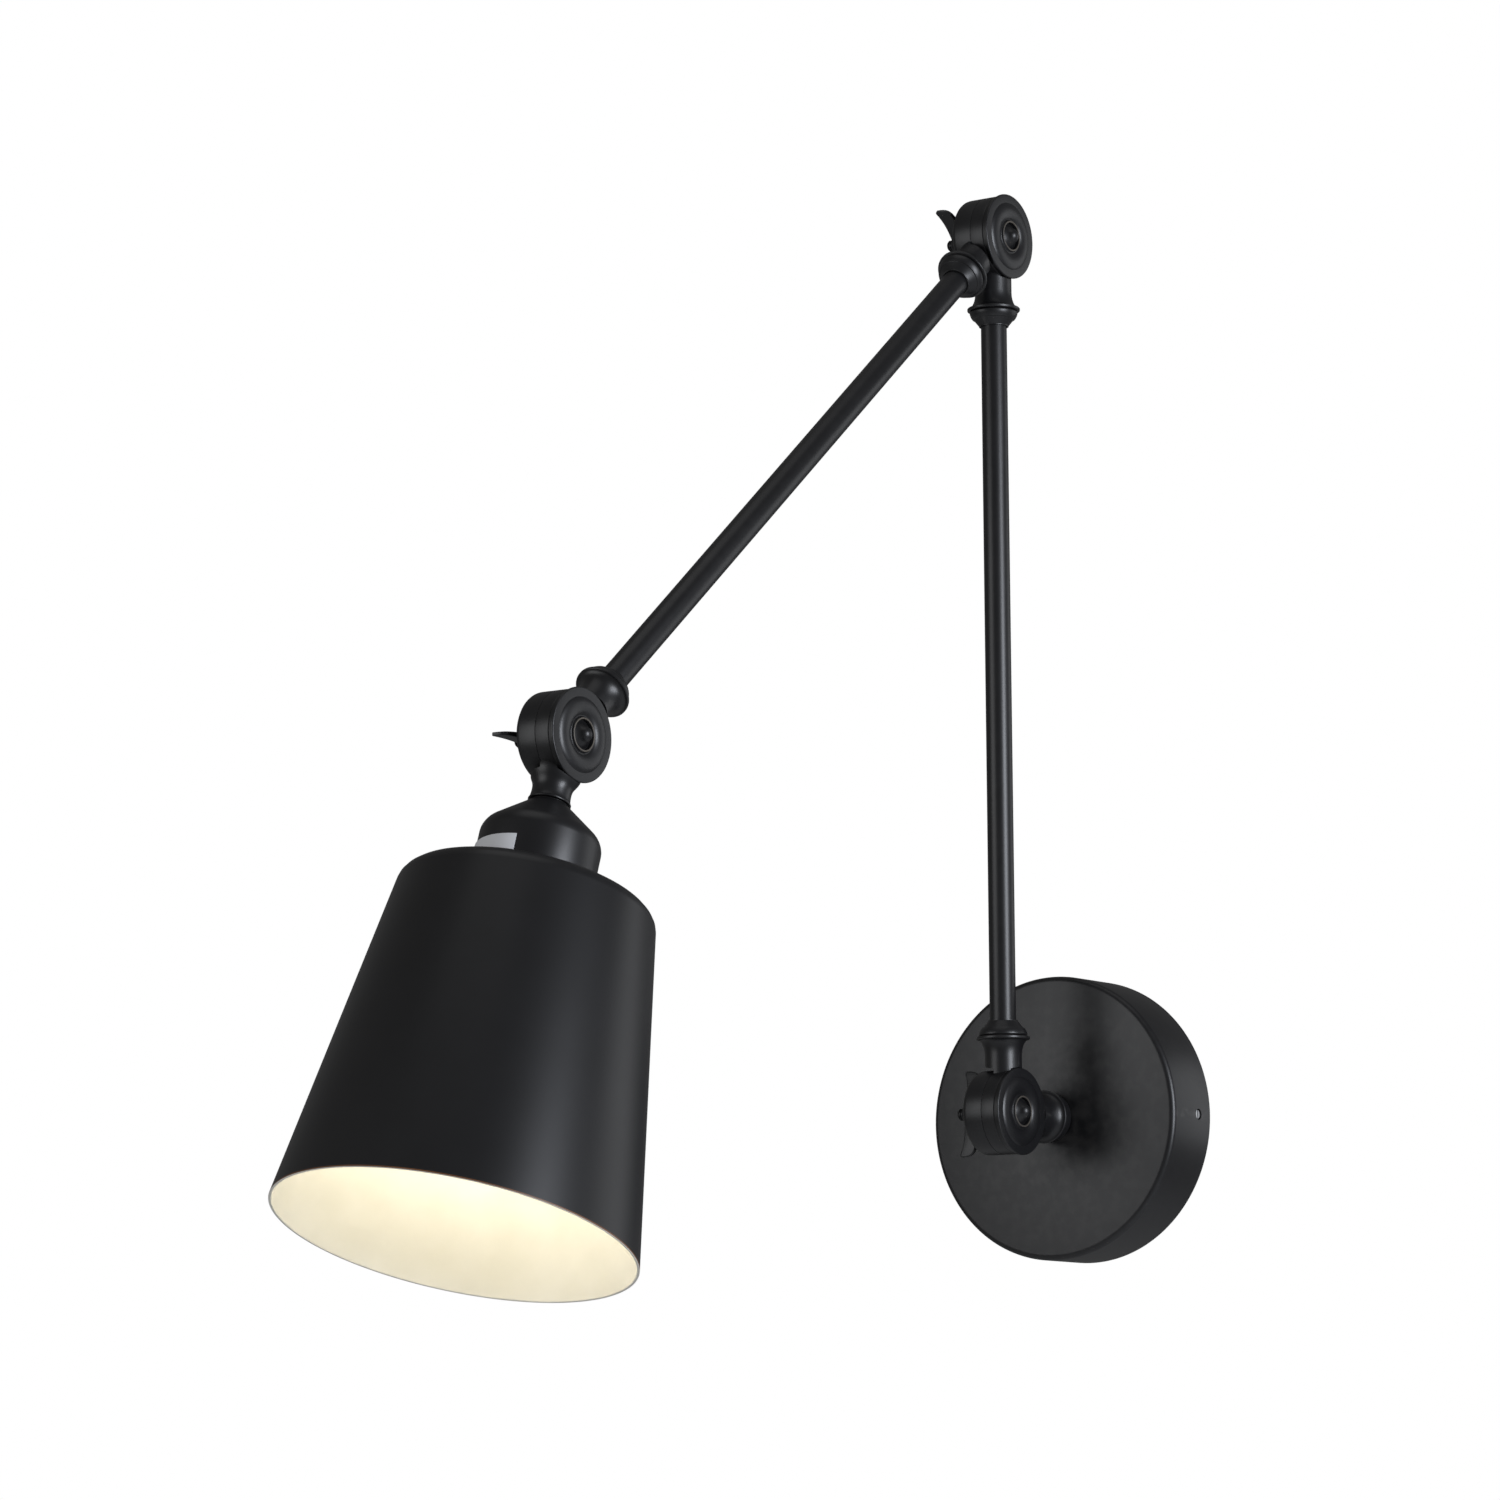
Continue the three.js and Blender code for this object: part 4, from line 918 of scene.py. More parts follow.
@dataclass(frozen=True)
class Knuckle(Assembly):
    """A clamped knuckle: two half drums with necks, a cap, a bolt, two washers and a wing nut.

    Distances across are from the arms' plane, and distances along a neck are from the pivot, in metres.

    Attributes:
        name: What its nodes' names start with.
        rear: The pivot and the lean of the rear half's neck.
        front: The same pivot and the lean of the front half's neck.
    """

    name: str
    rear: Seat
    front: Seat
    drum_radius: float = 0.0176
    rear_depth: float = 0.010
    front_depth: float = 0.0064
    half_gap: float = 0.00008
    edge_round: float = 0.0026
    chamber_radius: float = 0.0142
    boss_radius: float = 0.006
    floor: float = 0.0016
    notch_gap: float = 0.002
    neck_radius: float = 0.00775
    neck_length: float = 0.0316
    flare_start: float = 0.0235
    rim_radius: float = 0.0112
    rim_thickness: float = 0.0013
    socket_seat: float = 0.022
    flex_hole: float = 0.0019
    flex_offset: float = 0.002
    lamp_neck_root: float = 0.010
    lamp_neck_waist: float = 0.0075
    lamp_neck_foot: float = 0.0082
    lamp_neck_length: float = 0.0276
    lamp_stub_radius: float = 0.005
    lamp_stub_end: float = 0.040
    cap_radius: float = 0.0181
    cap_thickness: float = 0.0021
    cap_flange: float = 0.001
    cap_edge_round: float = 0.0005
    cap_bead_radius: float = 0.0109
    cap_bead_half_width: float = 0.0035
    cap_bead_height: float = 0.0013
    cap_lip_radius: float = 0.0065
    cap_lip_height: float = 0.001
    cap_recess_radius: float = 0.0058
    cap_recess_depth: float = 0.0009
    bolt_radius: float = 0.0025
    bolt_end: float = 0.022
    bolt_flange_radius: float = 0.0056
    bolt_flange_thickness: float = 0.0003
    bolt_ball_radius: float = 0.0032
    bolt_ball_rise: float = 0.0012
    washer_thickness: float = 0.001
    hub_radius: float = 0.0053
    hub_length: float = 0.007
    wing_reach: float = 0.0183
    wing_sweep: float = 0.0088
    wing_root: float = 0.0035
    wing_thickness: float = 0.0036
    wing_tip_thickness: float = 0.0013

    @property
    def bolt_hole(self) -> float:
        """Radius of the hole that the bolt passes through."""
        return self.bolt_radius + REST_GAP

    @property
    def cap_seat(self) -> float:
        """Where the cap plate's back lies, a hair off the drum."""
        return self.front_depth + 0.00005

    @property
    def cap_face(self) -> float:
        """Where the cap plate's flat edge lies."""
        return self.front_depth + REST_GAP + self.cap_thickness

    @property
    def wing_seat(self) -> float:
        """How far behind the arms' plane the wing nut sits."""
        return self.rear_depth + self.washer_thickness + 2 * REST_GAP

    def drum(self, side: Side) -> BMesh:
        """One half drum, before its neck is added.

        Args:
            side: Which half.

        Returns:
            The closed solid, about X.
        """
        edge = 0.0001
        rear = side is Side.REAR
        depth, soften = (self.rear_depth, self.edge_round) if rear else (self.front_depth, 0.0005)
        outline = [
            Corner(self.bolt_hole, self.half_gap),
            Corner(self.drum_radius, self.half_gap, edge),
            Corner(self.drum_radius, depth, soften),
            Corner(self.bolt_hole, depth),
        ]
        solid = laid(turned(outline, Steps.MEDIUM))
        if side is Side.REAR:
            solid.transform(Matrix.Rotation(math.pi, 4, "Z"))
        return solid

    def rim_neck(self) -> BMesh:
        """A neck that flares into a thin rim, along Z."""
        root = self.chamber_radius - 0.001
        flare_end = self.neck_length - self.rim_thickness
        return turned([
            Corner(0, root),
            Corner(self.neck_radius, root),
            *quarter((self.neck_radius, self.flare_start), (self.rim_radius - 0.0003, flare_end)),
            Corner(self.rim_radius, flare_end + 0.0003),
            Corner(self.rim_radius, self.neck_length, 0.0004),
            Corner(0, self.neck_length),
        ], Steps.SMALL)

    def lamp_neck(self) -> BMesh:
        """The waisted neck that stands on the socket cup, with the threaded stub below it, along Z."""
        start = self.chamber_radius - 0.001
        root, waist, foot = self.lamp_neck_root, self.lamp_neck_waist, self.lamp_neck_foot
        end, stub = self.lamp_neck_length, self.lamp_stub_radius
        middle = (self.cap_radius + end) / 2
        ease = 0.0026
        return turned([
            Corner(0, start),
            Corner(root, start),
            *bend((root, start + 0.0018), (root, middle - 1.6 * ease),
                  (waist, middle - 1.4 * ease), (waist, middle)),
            *bend((waist, middle), (waist, middle + 0.5 * ease),
                  (waist, end - 0.5 * ease), (foot, end - 0.0005)),
            Corner(foot, end, 0.0002),
            Corner(stub, end),
            *grooves(stub, 0.0004, end + 0.0005, self.lamp_stub_end - 0.0005, 0.001),
            Corner(stub, self.lamp_stub_end),
            Corner(0, self.lamp_stub_end),
        ], Steps.SMALL)

    def half(self, side: Side, neck: Neck, bore: float) -> BMesh:
        """One half of a knuckle, with its neck along Z notched over the other half.

        Args:
            side: Which half.
            neck: What its neck ends in.
            bore: Radius of the socket or bore in the neck.

        Returns:
            The closed solid.
        """
        sign = side.value
        past = 2 * self.drum_radius
        other = self.cap_radius if side is Side.REAR else self.drum_radius
        depth = self.rear_depth if side is Side.REAR else self.front_depth
        notch = laid(rod(other + self.notch_gap, *sorted((sign * self.half_gap, -sign * past)), Steps.MEDIUM))
        cap_room = laid(rod(self.cap_radius + REST_GAP, self.front_depth, past, Steps.MEDIUM))
        chamber = laid(turned([
            Corner(self.boss_radius, sign * (self.half_gap - 0.001)),
            Corner(self.chamber_radius, sign * (self.half_gap - 0.001)),
            Corner(self.chamber_radius, sign * (depth - self.floor)),
            Corner(self.boss_radius, sign * (depth - self.floor)),
        ], Steps.SMALL))
        flex_hole = rod(self.flex_hole, self.boss_radius + 0.001, self.socket_seat + 0.001, Steps.FINE)
        moved(flex_hole, sign * self.flex_offset, 0, 0)
        shaft = self.rim_neck() if neck is Neck.RIM else self.lamp_neck()
        end = self.neck_length if neck is Neck.RIM else self.lamp_stub_end
        socket = rod(bore, self.socket_seat, end + 0.001, Steps.SMALL)
        shaft = shaped(shaft, Shaping.CUT, notch, cap_room)
        solid = shaped(self.drum(side), Shaping.JOIN, shaft)
        solid = shaped(solid, Shaping.CUT, chamber, flex_hole, socket)
        if side is Side.FRONT:
            room = self.boss_radius + 0.0005
            recess = laid(rod(room, -0.001, self.half_gap + 0.0011, Steps.SMALL))
            solid = shaped(solid, Shaping.CUT, recess)
        return solid

    def cap_plate(self) -> BMesh:
        """The turned plate on the drum's front: a flat edge, a round bead, a lip round the bolt's well."""
        face, crest = self.cap_face, self.cap_face + self.cap_bead_height
        bead, half_width = self.cap_bead_radius, self.cap_bead_half_width
        lip, well = self.cap_lip_radius, self.cap_recess_radius
        floor = face - self.cap_recess_depth
        plate = turned([
            Corner(self.bolt_hole, self.cap_seat),
            Corner(self.drum_radius, self.cap_seat, 0.00005),
            Corner(self.drum_radius, face - self.cap_flange, 0.0001),
            Corner(self.cap_radius, face - self.cap_flange, 0.0002),
            Corner(self.cap_radius, face, self.cap_edge_round),
            *bend((bead + half_width, face), (bead + 0.6 * half_width, crest),
                  (bead - 0.6 * half_width, crest), (bead - half_width, face), 14),
            Corner(lip + 0.0004, face, 0.0003),
            Corner(lip, face + self.cap_lip_height, 0.0003),
            Corner(well, face + self.cap_lip_height, 0.0003),
            Corner(well, floor),
            Corner(self.bolt_hole, floor),
        ], Steps.LARGE)
        # The lip's top takes the second material, a lighter tan.
        for part in plate.faces:
            centre = part.calc_center_median()
            if centre.xy.length < lip and centre.z > face + 0.8 * self.cap_lip_height:
                part.material_index = 1
        return laid(plate)

    def pivot_bolt(self) -> BMesh:
        """The bolt: a ball on a flange in the cap's well and a shank threaded where it leaves the drum."""
        seat = self.cap_face - self.cap_recess_depth + 0.00005
        flange = seat + self.bolt_flange_thickness
        ball, middle = self.bolt_ball_radius, seat + REST_GAP + self.bolt_ball_rise
        start = math.radians(22)
        turns = [start + (math.pi / 2 - start) * step / 14 for step in range(15)]
        skirt = bend(
            (self.bolt_flange_radius, flange), (0.75 * self.bolt_flange_radius + 0.25 * ball, flange),
            (ball * math.cos(start) + 0.0003, middle + ball * math.sin(start) - 0.0007),
            (ball * math.cos(start), middle + ball * math.sin(start)), 8)
        thread = grooves(self.bolt_radius, 0.00035, 0.0006 - self.bolt_end, -self.rear_depth, 0.0008)
        return laid(turned([
            Corner(0, -self.bolt_end),
            Corner(self.bolt_radius - 0.0005, -self.bolt_end),
            *thread,
            Corner(self.bolt_radius, -self.rear_depth),
            Corner(self.bolt_radius, seat),
            Corner(self.bolt_flange_radius, seat),
            *skirt[:-1],
            *[Corner(ball * math.cos(turn), middle + ball * math.sin(turn)) for turn in turns[:-1]],
            Corner(0, middle + ball),
        ], Steps.SMALL))

    def friction_washer(self) -> BMesh:
        """The fibre washer between the halves' bosses."""
        outer = self.boss_radius - REST_GAP
        start, end = self.half_gap, self.half_gap + 0.0008
        return laid(turned([
            Corner(self.bolt_hole, start), Corner(outer, start, 0.0001),
            Corner(outer, end, 0.0001), Corner(self.bolt_hole, end),
        ], Steps.FINE))

    def spring_washer(self) -> BMesh:
        """The split spring washer under the wing nut."""
        start = -self.rear_depth - REST_GAP
        end = start - self.washer_thickness
        ring = laid(turned([
            Corner(self.bolt_hole, start, 0.0001), Corner(self.hub_radius, start, 0.0002),
            Corner(self.hub_radius, end, 0.0002), Corner(self.bolt_hole, end, 0.0001),
        ], Steps.SMALL))
        split = block((-0.002, 0, -0.0003), (0.002, 0.01, 0.0003))
        split.transform(Matrix.Rotation(math.radians(22), 4, "Y"))
        return shaped(ring, Shaping.CUT, moved(split, (start + end) / 2, 0, 0))

    def wing(self) -> BMesh:
        """One horn of the wing nut along +Z: a broad curved blade that thins towards its tip."""
        root, reach, sweep = self.wing_root, self.wing_reach, self.wing_sweep
        near, far = 0.0006, self.hub_length - 0.0001
        tip_round = 0.0008
        front = bend((near, root), (near, 0.93 * reach),
                     (near + 0.001, reach), (sweep - tip_round, reach), 12)
        back = bend((sweep, reach - tip_round), (0.78 * sweep, 0.72 * reach), (0.74 * sweep, 0.48 * reach),
                    (far, root), 8)
        blade = outline_of([*front, *back], closed=True)
        bmesh.ops.edgenet_fill(blade, edges=blade.edges[:])
        rise = bmesh.ops.extrude_face_region(blade, geom=blade.faces[:])["geom"]
        side = [item for item in rise if isinstance(item, bmesh.types.BMVert)]
        bmesh.ops.translate(blade, vec=(0, self.wing_thickness, 0), verts=side)
        moved(tidied(blade), 0, -self.wing_thickness / 2, 0)
        rims = [edge for edge in blade.edges if edge.calc_face_angle() > math.radians(60)]
        bmesh.ops.bevel(
            blade, geom=rims, offset=0.0006, offset_type="OFFSET", affect="EDGES", segments=3,
            profile=0.5, material=-1, clamp_overlap=True,
        )
        thinning = 1 - self.wing_tip_thickness / self.wing_thickness
        for corner in blade.verts:
            share = max(0.0, corner.co.z - root) / (reach - root)
            corner.co.y *= 1 - thinning * share
        blade.transform(Matrix.Translation((-self.wing_seat, 0, 0)) @ Matrix.Rotation(math.pi, 4, "Z"))
        return blade

    def wing_nut(self) -> BMesh:
        """The wing nut with its two horns along Z."""
        seat, end = -self.wing_seat, -self.wing_seat - self.hub_length
        tip = self.hub_radius - 0.0011
        hub = laid(turned([
            Corner(self.bolt_hole, seat), Corner(self.hub_radius, seat, 0.0003),
            Corner(self.hub_radius, seat - 0.0016, 0.0005), Corner(tip, end, 0.0005),
            Corner(self.bolt_hole, end),
        ], Steps.SMALL))
        lower = self.wing()
        lower.transform(Matrix.Rotation(math.pi, 4, "X"))
        return shaped(hub, Shaping.JOIN, self.wing(), lower)

    def build(self, rear_body: Body, front_body: Body, wing_body: Body, rear_bore: float,
              front_bore: float, wing_lean: float, front_neck: Neck = Neck.RIM) -> None:
        """Adds all of the knuckle's pieces.

        Args:
            rear_body: The body that carries the rear half and the spring washer.
            front_body: The body that carries the front half, the cap and the bolt.
            wing_body: The body of the wing nut.
            rear_bore: Radius of the rear neck's socket.
            front_bore: Radius of the front neck's socket or bore.
            wing_lean: Lean of the wings, in radians.
            front_neck: What the front half's neck ends in.
        """
        name, paint = self.name, Slot.BLACK_PAINT
        wings = Seat(self.rear.point, wing_lean)
        rear_half = self.half(Side.REAR, Neck.RIM, rear_bore)
        front_half = self.half(Side.FRONT, front_neck, front_bore)
        self.add(f"{name}_knuckle_rear", rear_half, self.rear, rear_body, paint)
        self.add(f"{name}_knuckle_front", front_half, self.front, front_body, paint)
        cap = self.add(f"{name}_knuckle_cap", self.cap_plate(), self.front, front_body, paint)
        # The cap's second material colours its lip's top a lighter tan.
        cap.data.materials.append(self.palette.rubbed)
        self.add(f"{name}_pivot_bolt", self.pivot_bolt(), self.front, front_body, paint)
        self.add(f"{name}_friction_washer", self.friction_washer(), self.front, front_body, Slot.WASHER_FIBRE)
        self.add(f"{name}_spring_washer", self.spring_washer(), wings, rear_body, Slot.STEEL)
        self.add(f"{name}_wing_nut", self.wing_nut(), wings, wing_body, paint)


# ------------------------------------------------------------------ arms


@dataclass(frozen=True)
class Arm(Assembly):
    """A tube between two knuckles, with a turned collar at each end and the flex inside.

    Distances are in metres, from the pivot at either end.
    """

    tube_radius: float = 0.0055
    tube_wall: float = 0.001
    tube_start: float = 0.0223
    collar_start: float = 0.0319
    collar_length: float = 0.0064
    band_radius: float = 0.0102
    band_length: float = 0.0032
    band_round: float = 0.0006
    band_step: float = 0.0004
    flex_radius: float = 0.0016
    flex_inset: float = 0.0115
    flex_offset: float = 0.002

    def tube(self, length: float) -> BMesh:
        """The tube between two pivots so far apart."""
        inner, end = self.tube_radius - self.tube_wall, length - self.tube_start
        return turned([
            Corner(inner, self.tube_start), Corner(self.tube_radius, self.tube_start, 0.0002),
            Corner(self.tube_radius, end, 0.0002), Corner(inner, end),
        ], Steps.SMALL)

    def collar(self) -> BMesh:
        """The turned ring next to a knuckle's rim: a round band, a small step, a taper down to the tube."""
        bore, band, soft = self.tube_radius + REST_GAP, self.band_radius, self.band_round
        start = self.collar_start
        step, end = start + self.band_length, start + self.collar_length
        ledge = band - 2 * soft
        return turned([
            Corner(bore, start),
            Corner(band - soft, start, 0.0001),
            *bend((band - soft, start), (band - 0.3 * soft, start),
                  (band, start + 0.4 * soft), (band, start + soft), 5),
            *bend((band, start + soft), (band, start + 2 * soft),
                  (ledge + soft, step - soft), (ledge, step), 6),
            Corner(ledge - self.band_step, step, 0.0001),
            Corner(bore + 0.0005, end - 0.0003, 0.0002),
            Corner(bore + 0.0005, end),
            Corner(bore, end),
        ], Steps.MEDIUM)

    def build(self, name: str, near: Seat, far: Vector, ends: tuple[str, str],
              side: Side, body: Body) -> None:
        """Adds the tube, its collars and its flex.

        Args:
            name: What its nodes' names start with.
            near: The pivot that it starts from and its lean.
            far: The pivot that it reaches.
            ends: The names of the knuckles at its start and end.
            side: Which halves of its knuckles the arm carries.
            body: The body that it rides on.
        """
        paint = Slot.BLACK_PAINT
        length = (far - near.point).length
        self.add(f"{name}_tube", self.tube(length), near, body, paint)
        self.add(f"{name}_{ends[0]}_collar", self.collar(), near, body, paint)
        self.add(f"{name}_{ends[1]}_collar", self.collar(), Seat(far, near.lean).turned_back(), body, paint)
        flex = rod(self.flex_radius, self.flex_inset, length - self.flex_inset, Steps.FINE)
        moved(flex, side.value * self.flex_offset, 0, 0)
        self.add(f"{name}_flex", flex, near, body, Slot.FLEX_SHEATH)


# ------------------------------------------------------------------ wall side


def hexagon_nut(flat_radius: float, bore: float, start: float, thickness: float) -> BMesh:
    """A hexagon nut along Z with chamfered corners and a threaded bore.

    Args:
        flat_radius: Distance from the axis to a flat.
        bore: Radius of its bore.
        start: Height of its first face.
        thickness: Distance to its other face.

    Returns:
        The closed solid.
    """
    corner = flat_radius / math.cos(math.pi / 6)
    end = start + thickness
    prism = bmesh.new()
    bmesh.ops.create_cone(
        prism, cap_ends=True, segments=6, radius1=corner, radius2=corner, depth=thickness)
    moved(prism, 0, 0, (start + end) / 2)
    chamfer = 0.4 * (corner - flat_radius)
    limits = turned([
        Corner(0, start), Corner(flat_radius - 0.0002, start), Corner(corner, start + chamfer),
        Corner(corner, end - chamfer), Corner(flat_radius - 0.0002, end), Corner(0, end),
    ], Steps.SMALL)
    solid = shaped(prism, Shaping.KEEP, limits)
    hole = turned([
        Corner(0, start - 0.001), Corner(bore + 0.0006, start - 0.001), Corner(bore + 0.0006, start),
        Corner(bore, start + 0.0006), Corner(bore, end - 0.0006), Corner(bore + 0.0006, end),
        Corner(bore + 0.0006, end + 0.001), Corner(0, end + 0.001),
    ], Steps.SMALL)
    return shaped(solid, Shaping.CUT, hole)


@dataclass(frozen=True)
class WallSide(Assembly):
    """The canopy, the strap that it screws to, and the terminal block and nipple inside it.

    Distances are in metres: the canopy's and the screws' from the wall, and those of the collar, the
    nipple, its washer and its nut from the wall knuckle's pivot.
    """

    canopy_radius: float = 0.060
    canopy_depth: float = 0.0297
    canopy_wall: float = 0.0012
    canopy_round: float = 0.0025
    side_screw_radius: float = 0.002
    side_screw_length: float = 0.009
    side_screw_height: float = 0.0095
    side_screw_recess: float = 0.0005
    small_screw_radius: float = 0.0016
    small_head_radius: float = 0.0032
    small_head_height: float = 0.002
    screw_start: float = 0.0003
    ground_head_seat: float = 0.0018
    terminal_head_seat: float = 0.0141
    nipple_radius: float = 0.005
    nipple_bore: float = 0.004
    nipple_start: float = 0.0223
    nipple_end: float = 0.0464
    washer_radius: float = 0.0095
    washer_start: float = 0.0384
    washer_thickness: float = 0.001
    nut_flat_radius: float = 0.008
    nut_start: float = 0.0397
    nut_thickness: float = 0.004
    collar_start: float = 0.0319
    collar_length: float = 0.0047
    collar_radius: float = 0.0104
    collar_taper: float = 0.0004

    @property
    def outward(self) -> Seat:
        """The middle of the wall plane, facing straight out of the wall."""
        return Seat(Vector((0, 0, 0)), math.pi / 2)

    def canopy(self) -> BMesh:
        """The shallow drum, open at the wall, with its nipple hole and side screw holes."""
        inner = self.canopy_radius - self.canopy_wall
        hole = self.nipple_radius + REST_GAP
        under = self.canopy_depth - self.canopy_wall
        shell = turned([
            Corner(inner, 0),
            Corner(self.canopy_radius, 0, 0.0004),
            Corner(self.canopy_radius, self.canopy_depth, self.canopy_round),
            Corner(hole, self.canopy_depth),
            Corner(hole, under),
            Corner(inner, under, self.canopy_round - self.canopy_wall),
        ], Steps.LARGE)
        past = 1.2 * self.canopy_radius
        bore = laid(rod(self.side_screw_radius + REST_GAP, -past, past, Steps.FINE))
        return shaped(shell, Shaping.CUT, moved(bore, 0, 0, self.side_screw_height))

    def side_screw(self, side: Side) -> BMesh:
        """The slotted set screw on one side, in the light's own axes."""
        head = self.canopy_radius - self.side_screw_recess
        shank_start = head - self.side_screw_length
        thread = grooves(self.side_screw_radius, 0.00025, shank_start + 0.0004, head - 0.0012, 0.0007)
        screw = laid(turned([
            Corner(0, shank_start),
            Corner(self.side_screw_radius - 0.0004, shank_start),
            *thread,
            Corner(self.side_screw_radius, head - 0.0011),
            Corner(self.side_screw_radius, head, 0.0003),
            Corner(0, head),
        ], Steps.FINE))
        slot = block((head - 0.001, -0.00035, -0.003), (head + 0.001, 0.00035, 0.003))
        screw = shaped(screw, Shaping.CUT, slot)
        screw.transform(Matrix.Rotation(0 if side is Side.FRONT else math.pi, 4, "Z"))
        return moved(screw, 0, -self.side_screw_height, 0)

    def small_screw(self, node: str, head_seat: float) -> BMesh:
        """A cross-head screw in the strap.

        Args:
            node: The node that says where it stands.
            head_seat: Distance of its head's underside from the wall.

        Returns:
            The screw, in the light's own axes.
        """
        crown = head_seat + self.small_head_height
        head_edge = head_seat + 0.5 * self.small_head_height
        thread = grooves(self.small_screw_radius, 0.0002, self.screw_start + 0.0002, head_seat, 0.0006)
        screw = turned([
            Corner(0, self.screw_start),
            Corner(self.small_screw_radius - 0.0003, self.screw_start),
            *thread,
            Corner(self.small_screw_radius, head_seat),
            Corner(self.small_head_radius, head_seat, 0.0001),
            Corner(self.small_head_radius, head_edge),
            *quarter((self.small_head_radius - 0.0001, head_edge + 0.0001), (0, crown), 8),
        ], Steps.FINE)
        for turn in (0, math.pi / 2):
            slot = block((-0.0004, -0.0019, crown - 0.0011), (0.0004, 0.0019, crown + 0.001))
            slot.transform(Matrix.Rotation(turn + math.pi / 4, 4, "Z"))
            screw = shaped(screw, Shaping.CUT, slot)
        screw.transform(self.outward.matrix())
        return moved(screw, middle_of(node).x, 0, 0)

    def nipple(self) -> BMesh:
        """The threaded nipple through the canopy, along the neck."""
        thread = grooves(self.nipple_radius, 0.0004, self.nipple_start + 0.0004, self.nipple_end, 0.001)
        return turned([
            Corner(self.nipple_bore, self.nipple_start),
            Corner(self.nipple_radius - 0.0003, self.nipple_start),
            *thread,
            Corner(self.nipple_radius - 0.0003, self.nipple_end),
            Corner(self.nipple_bore, self.nipple_end, 0.0002),
        ], Steps.SMALL)

    def washer(self) -> BMesh:
        """The flat ring under the nipple's nut."""
        bore, end = self.nipple_radius + REST_GAP, self.washer_start + self.washer_thickness
        return turned([
            Corner(bore, self.washer_start), Corner(self.washer_radius, self.washer_start, 0.0002),
            Corner(self.washer_radius, end, 0.0002), Corner(bore, end),
        ], Steps.SMALL)

    def spacer_collar(self) -> BMesh:
        """The plain collar between the wall knuckle's rim and the canopy, a little thinner at the canopy."""
        bore, end = self.nipple_radius + REST_GAP, self.collar_start + self.collar_length
        return turned([
            Corner(bore, self.collar_start),
            Corner(self.collar_radius, self.collar_start, 0.0005),
            Corner(self.collar_radius - self.collar_taper, end, 0.0003),
            Corner(bore, end),
        ], Steps.MEDIUM)

    def build(self, neck: Seat) -> None:
        """Adds the wall side's pieces.

        Args:
            neck: The wall knuckle's pivot, leaning back at the wall.
        """
        body, steel = Body.WALL_MOUNT, Slot.STEEL
        self.add("wall_bracket", refined("wall_bracket", 0.00025), None, body, steel)
        self.add("canopy", self.canopy(), self.outward, body, Slot.BLACK_PAINT)
        self.add("canopy_side_screw_right", self.side_screw(Side.FRONT), None, body, steel)
        self.add("canopy_side_screw_left", self.side_screw(Side.REAR), None, body, steel)
        ground = self.small_screw("ground_screw", self.ground_head_seat)
        self.add("ground_screw", ground, None, body, Slot.BRASS)
        clamp = self.small_screw("terminal_block_screw", self.terminal_head_seat)
        self.add("terminal_block_screw", clamp, None, body, steel)
        self.add("terminal_block", refined("terminal_block", 0.0004), None, body, Slot.TERMINAL_PLASTIC)
        self.add("canopy_collar", self.spacer_collar(), neck, body, Slot.BLACK_PAINT)
        self.add("canopy_nipple", self.nipple(), neck, body, steel)
        self.add("nipple_washer", self.washer(), neck, body, steel)
        bore = self.nipple_radius + REST_GAP
        nut = hexagon_nut(self.nut_flat_radius, bore, self.nut_start, self.nut_thickness)
        self.add("nipple_nut", nut, neck, body, steel)
        self.add("canopy_flex", refined("canopy_flex"), None, body, Slot.FLEX_SHEATH)


# ------------------------------------------------------------------ lamp head


